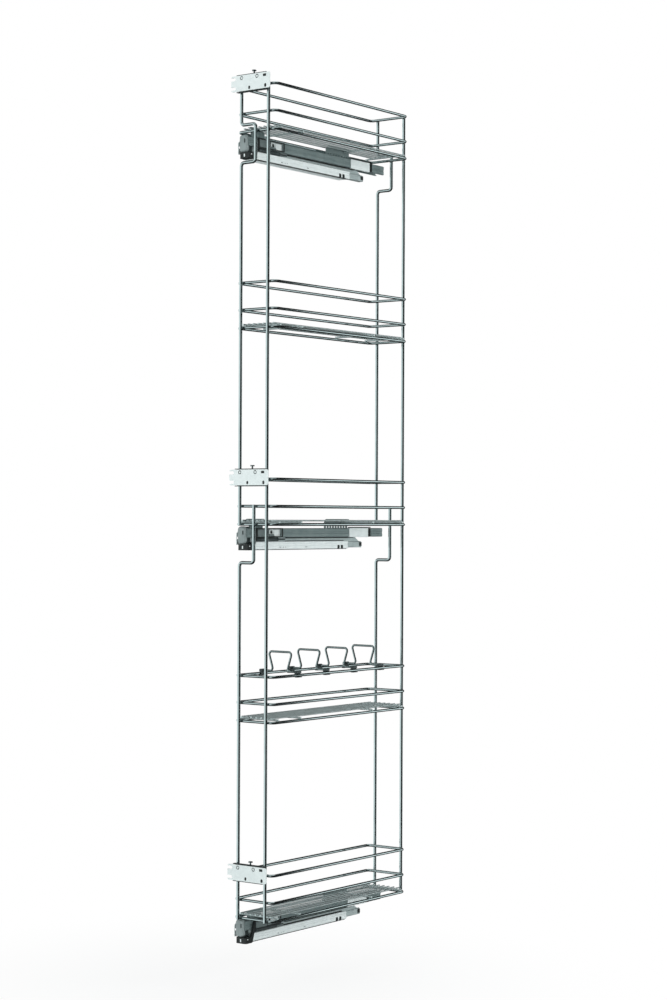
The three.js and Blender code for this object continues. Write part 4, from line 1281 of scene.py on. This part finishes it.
# Two small bright zinc blocks in the grip.
def lever_bright_marks(level):
    """Two small bright zinc blocks: one in the front face of the grip and one in its right side."""
    low, _, high = span(f"{level}_release_lever")
    shape = blocks(
        ((low.x + 11.6, low.y - 0.35, low.z + 3.2), (low.x + 14.4, low.y + 1.5, low.z + 9.2)),
        ((high.x - 1.5, low.y + 5.4, low.z + 7.4), (high.x + 0.1, low.y + 8.4, low.z + 9.4)))
    solid_piece(f"{level}_lever_clips", shape, zinc_sheet, f"{level}_lever", edge=0.2)


# %% [markdown]
# The soft-close damper lies behind the slide. It is a body of revolution, so one profile is turned round its axis.

# %% Dampers
DAMPER_BODY = 70
ROD_RADIUS = 1.5


def damper(level):
    """A soft-close cylinder with grooves at its ends, and the rod that comes out of its rear."""
    low, middle, high = span(f"{level}_damper")
    radius, length = (high.x - low.x) / 2, high.y - low.y
    profile = [(0, 0), (radius - 2.0, 0), (radius - 0.8, 0.5), (radius, 1.8)]
    for groove in (7, DAMPER_BODY - 6):
        profile += [
            (radius, groove), (radius - 0.5, groove + 0.4), (radius - 0.5, groove + 1.6), (radius, groove + 2)]
    profile += [
        (radius, DAMPER_BODY - 0.8), (radius - 0.8, DAMPER_BODY), (ROD_RADIUS, DAMPER_BODY),
        (ROD_RADIUS, length - 0.5), (ROD_RADIUS - 0.5, length), (0, length)]
    shape = turned(profile, "y", (middle.x, low.y, middle.z))
    solid_piece(f"{level}_damper_cylinder", shape, moulded_dark, "pull_out", f"{level}_damper", edge=0)


for level, z in level_z.items():
    for make in (front_shell, cap_housing, slot_shade_fill):
        make(level, *span(f"{level}_front_cap"))
    release_lever(level, z)
    lever_housing(level, z)
    lever_bright_marks(level)
    damper(level)

# %% [markdown]
# ## Door brackets
#
# Each bracket is a shallow channel across the two front uprights, pulled tight against them by two bolts and a strip
# behind the top rail. The door plate rides on it and is moved by the height screw. Its two screw heads sit flush in
# the plate, because the door lies flat against it. Heads with a cross recess repeat on all three brackets, so a tree
# cuts one and sets it on points.


# %% Screw heads
def screw_tree():
    """Flat screw heads with a cross recess, one on each point."""
    tree, given, result = geometry_tree(
        "screw heads", Radius="Float", Height="Float", Recess="Float", Finish="Material")
    recess, height = given["Recess"], given["Height"]
    head = add(tree, "GeometryNodeMeshCylinder", Vertices=32, Radius=given["Radius"], Depth=height)
    arm = multiply(tree, given["Radius"], 1.15)
    raised = add(tree, "ShaderNodeCombineXYZ", Z=multiply(tree, height, 0.5))
    cut = add(
        tree, "GeometryNodeMeshBoolean", settings={"operation": "DIFFERENCE", "solver": "EXACT"}, Mesh_1=head)
    for width, depth in ((arm, recess), (recess, arm)):
        bar = add(tree, "GeometryNodeMeshCube", Size=add(tree, "ShaderNodeCombineXYZ", width, depth, height))
        plug(tree, cut.inputs["Mesh 2"], add(tree, "GeometryNodeTransform", Geometry=bar, Translation=raised))
    return close_tree(tree, set_on_points(tree, given, cut), given["Finish"], result, smooth=False)


screw_heads = screw_tree()

# %% [markdown]
# The door plate is a flat blank with two open slots on its left, where it is pushed over the screws in the door. Black
# fills in its spare holes and black rings round its two screws are painted shade, deep in the holes and countersinks.

# %% Door plates
PLATE_ROW = 10.5
SCREW_PLACES = [-23, 17]
HEAD_RADIUS = 2.4
HEAD_SINK = 0.05
RECESS_WIDTH = 0.9
RIM_RADIUS, RIM_DEPTH = 4.0, 1.2
SPARE_HOLES = [
    (36.5, PLATE_ROW, 8.6, 5.2, 1.2), (-3, -PLATE_ROW, 5.2, 7.0, 2.3), (38.6, -PLATE_ROW, 5.6, 7.4, 2.3)]


def door_plate(level, low, middle, high):
    back, z = low.y + 2, middle.z
    through = (low.y - 2, back + 2)
    cuts = slabs("y", through, low.x, z, [(0, side * 9.5, 24, 6.5, 3.2) for side in (-1, 1)])
    cuts += slabs("y", through, middle.x, z, SPARE_HOLES)
    cuts += [
        slab("y", (through[0], low.y + RIM_DEPTH), middle.x + aside, z + PLATE_ROW, 2 * RIM_RADIUS, 2 * RIM_RADIUS,
             RIM_RADIUS - 0.02, 8)
        for aside in SCREW_PLACES]
    screw_x = span(f"{level}_height_screw")[1].x
    lug = blocks(((screw_x - 5, back - 0.5, z + 4), (screw_x + 5, high.y, z + 12)))
    shape = slab("y", (low.y, back), middle.x, z, high.x - low.x, high.z - low.z, 4)
    solid_piece(
        f"{level}_plate", shape, zinc_sheet, f"{level}_plate", f"{level}_door_plate", cuts=cuts, edge=0.3,
        joins=[lug])


# %% [markdown]
# The black fills lie a little below the plate's face, and the screw heads sit on the black rings: both are painted
# shade.


# %% Painted shade in the plate's holes, and plate screws
# Painted shade: black fills in the plate's spare holes and black rings in its countersinks.
def plate_hole_shade(level, low, middle, high):
    """Painted shade: black fills in the plate's spare holes, and black rings round its two screws in the countersinks.
    """
    shape = bmesh.new()
    for aside, rise, width, height, radius in SPARE_HOLES:
        slab("y", (low.y + 0.7, low.y + 1.9), middle.x + aside, middle.z + rise, width - 0.1, height - 0.1,
             radius - 0.05, shape=shape)
    for aside in SCREW_PLACES:
        slab("y", (low.y + RIM_DEPTH - 0.5, low.y + RIM_DEPTH - 0.02), middle.x + aside, middle.z + PLATE_ROW,
             2 * RIM_RADIUS - 0.1, 2 * RIM_RADIUS - 0.1, RIM_RADIUS - 0.08, 8, shape)
    solid_piece(f"{level}_plate_plugs", shape, moulded_black, f"{level}_plate", edge=0)


def plate_screws(level, low, middle, high):
    height = RIM_DEPTH - HEAD_SINK - 0.52
    places = [
        ((middle.x + aside, low.y + HEAD_SINK + height / 2, middle.z + PLATE_ROW), (0, -1, 0))
        for aside in SCREW_PLACES]
    piece = run_tree(
        facing_points(f"{level}_plate_screws", places), screw_heads, Radius=HEAD_RADIUS * MM, Height=height * MM,
        Recess=RECESS_WIDTH * MM, Finish=zinc_sheet)
    dress(piece, f"{level}_plate", zinc_sheet)


# %% [markdown]
# The clamp is a channel that lies against the uprights and opens forwards, so the edges of its two flanges show as
# thin dark lines above and below the door plate. The clamp's dark finish is painted shade, which makes these lines
# dark.

# %% Clamps
CLAMP_SHEET = 1.5
BOLT_SPACING = 36
BOLT_RISE = 6


# The channel's dark finish is painted shade for the lines above and below the door plate.
def clamp_channel(level, z):
    low, _, high = span(f"{level}_door_clamp")
    web_y, top = low.y + 8 + CLAMP_SHEET / 2, high.z - z - CLAMP_SHEET / 2
    line = [(low.y, top), (web_y, top), (web_y, -top), (low.y, -top)]
    screw = span(f"{level}_height_screw")[1]
    hole = turned([(0, 0), (2.1, 0), (2.1, 6), (0, 6)], "z", (screw.x, screw.y, z + top - 3))
    shape = sheet_rail(line, z, (low.x, high.x), bend=1.6, thickness=CLAMP_SHEET, axis="x")
    solid_piece(
        f"{level}_clamp_channel", shape, dark_steel_painted_shade, "pull_out", f"{level}_door_clamp", cuts=[hole], edge=0.3)


def clamp_strip(level, z):
    """The strip behind the top rail, drawn up by two bolts through the channel."""
    low, _, high = span(f"{level}_door_clamp")
    front, web_y = high.y - 2, low.y + 8 + CLAMP_SHEET
    profile = [(0, 0), (2.5, 0), (2.5, front - web_y + 1), (0, front - web_y + 1)]
    bolts = [
        turned(profile, "y", (middle_x + side * BOLT_SPACING / 2, web_y, z + BOLT_RISE), 20) for side in (-1, 1)]
    shape = slab("y", (front, high.y), middle_x, z, 52, 19, 3)
    solid_piece(
        f"{level}_clamp_strip", shape, zinc_sheet, "pull_out", f"{level}_door_clamp", edge=0.3, joins=bolts)


# %% [markdown]
# A thread seen from arm's length is a row of fine rings, so the height screw is one turned profile with a ring for
# each turn of the thread, and a driver slot sawn into its flat head.

# %% Height screws
THREAD_PITCH = 0.8
THREAD_DEPTH = 0.35
THREAD_RADIUS = 1.75
HEAD_HEIGHT = 2.5


def height_screw(level):
    low, middle, high = span(f"{level}_height_screw")
    head_z = high.z - low.z - HEAD_HEIGHT
    profile = [(0, 0), (THREAD_RADIUS - 0.6, 0)]
    along = 0.6
    while along < head_z - 3:
        profile += [(THREAD_RADIUS - THREAD_DEPTH, along), (THREAD_RADIUS, along + THREAD_PITCH / 2)]
        along += THREAD_PITCH
    profile += [
        (THREAD_RADIUS - 0.1, head_z - 2.4), (THREAD_RADIUS - 0.1, head_z), (4.1, head_z), (4.5, head_z + 0.4),
        (4.5, head_z + 2.0), (4.0, head_z + HEAD_HEIGHT), (0, head_z + HEAD_HEIGHT)]
    slot = blocks(((middle.x - 6, middle.y - 0.6, high.z - 1.2), (middle.x + 6, middle.y + 0.6, high.z + 1)))
    solid_piece(
        f"{level}_height_screw_turned", turned(profile, "z", (middle.x, middle.y, low.z)), screw_steel,
        f"{level}_screw", f"{level}_height_screw", cuts=[slot], edge=0)


for level in level_z:
    plate_span = span(f"{level}_door_plate")
    for make in (clamp_channel, clamp_strip):
        make(level, plate_span[1].z)
    for make in (door_plate, plate_hole_shade, plate_screws):
        make(level, *plate_span)
    height_screw(level)
print("door brackets:", len(level_z))

# %% [markdown]
# ## Bottle dividers
#
# A divider is a loop of wire, wider at the top, whose feet run outwards into two plastic clips. The clips snap over
# the top rail of the fourth basket and slide along it.

# %% Bottle dividers
LOOP_TOP = 61
LOOP_FOOT = 36
LOOP_BEND = 6
CLIP_WALL = 2.0
CLIP_STEPS = 20
UPPER_JAW = 0.4
LOWER_JAW = 2.6
UPPER_LIP, LOWER_LIP = math.radians(84), math.radians(310)
divider_rail_z = span("basket_4_top_rail")[1].z


def divider_loop(number):
    node = f"divider_{number}_wire"
    low, _, high = span(node)
    radius = (high.y - low.y) / 2
    y, foot, top = (low.y + high.y) / 2, low.z + radius, high.z - radius
    line = [
        (low.x, foot), (middle_x - LOOP_FOOT / 2, foot), (middle_x - LOOP_TOP / 2, top),
        (middle_x + LOOP_TOP / 2, top), (middle_x + LOOP_FOOT / 2, foot), (high.x, foot)]
    wire_piece(
        f"divider_{number}_loop", [(x, y, z) for x, z in line], radius, LOOP_BEND, f"divider_{number}", node,
        look=loop_wire_painted_shade)


def divider_clip(number, side, outward):
    """A clip that grips the rail from inside the basket, with a short upper jaw and a longer lower one."""
    node = f"divider_{number}_{side}_clip"
    low, middle, high = span(node)
    reach = (high.x - low.x) / 2
    bore = reach - CLIP_WALL
    outer = fillet(
        [(LOWER_JAW, low.z), (-reach, low.z), (-reach, high.z), (UPPER_JAW, high.z),
         (UPPER_JAW + 0.4, divider_rail_z + bore + 1.2)], 1.6)
    angles = [UPPER_LIP + (LOWER_LIP - UPPER_LIP) * step / CLIP_STEPS for step in range(CLIP_STEPS + 1)]
    inner = [(bore * math.cos(angle), divider_rail_z + bore * math.sin(angle)) for angle in angles]
    shape = prism([(middle.x + outward * x, z) for x, z in [*outer, *inner]], "y", (low.y, high.y))
    solid_piece(f"{node}_moulding", shape, moulded_dark, f"divider_{number}", node, edge=0.4)


for number in DIVIDERS:
    divider_loop(number)
    divider_clip(number, "left", -1)
    divider_clip(number, "right", 1)
print("dividers:", len(DIVIDERS))

# %% [markdown]
# ## The solids' box
#
# The finished pieces must fill the same box as the solids. The solids' box is printed.

# %% The solids' box
print("solids:", [[round(value, 4) for value in corner] for corner in cad_box])
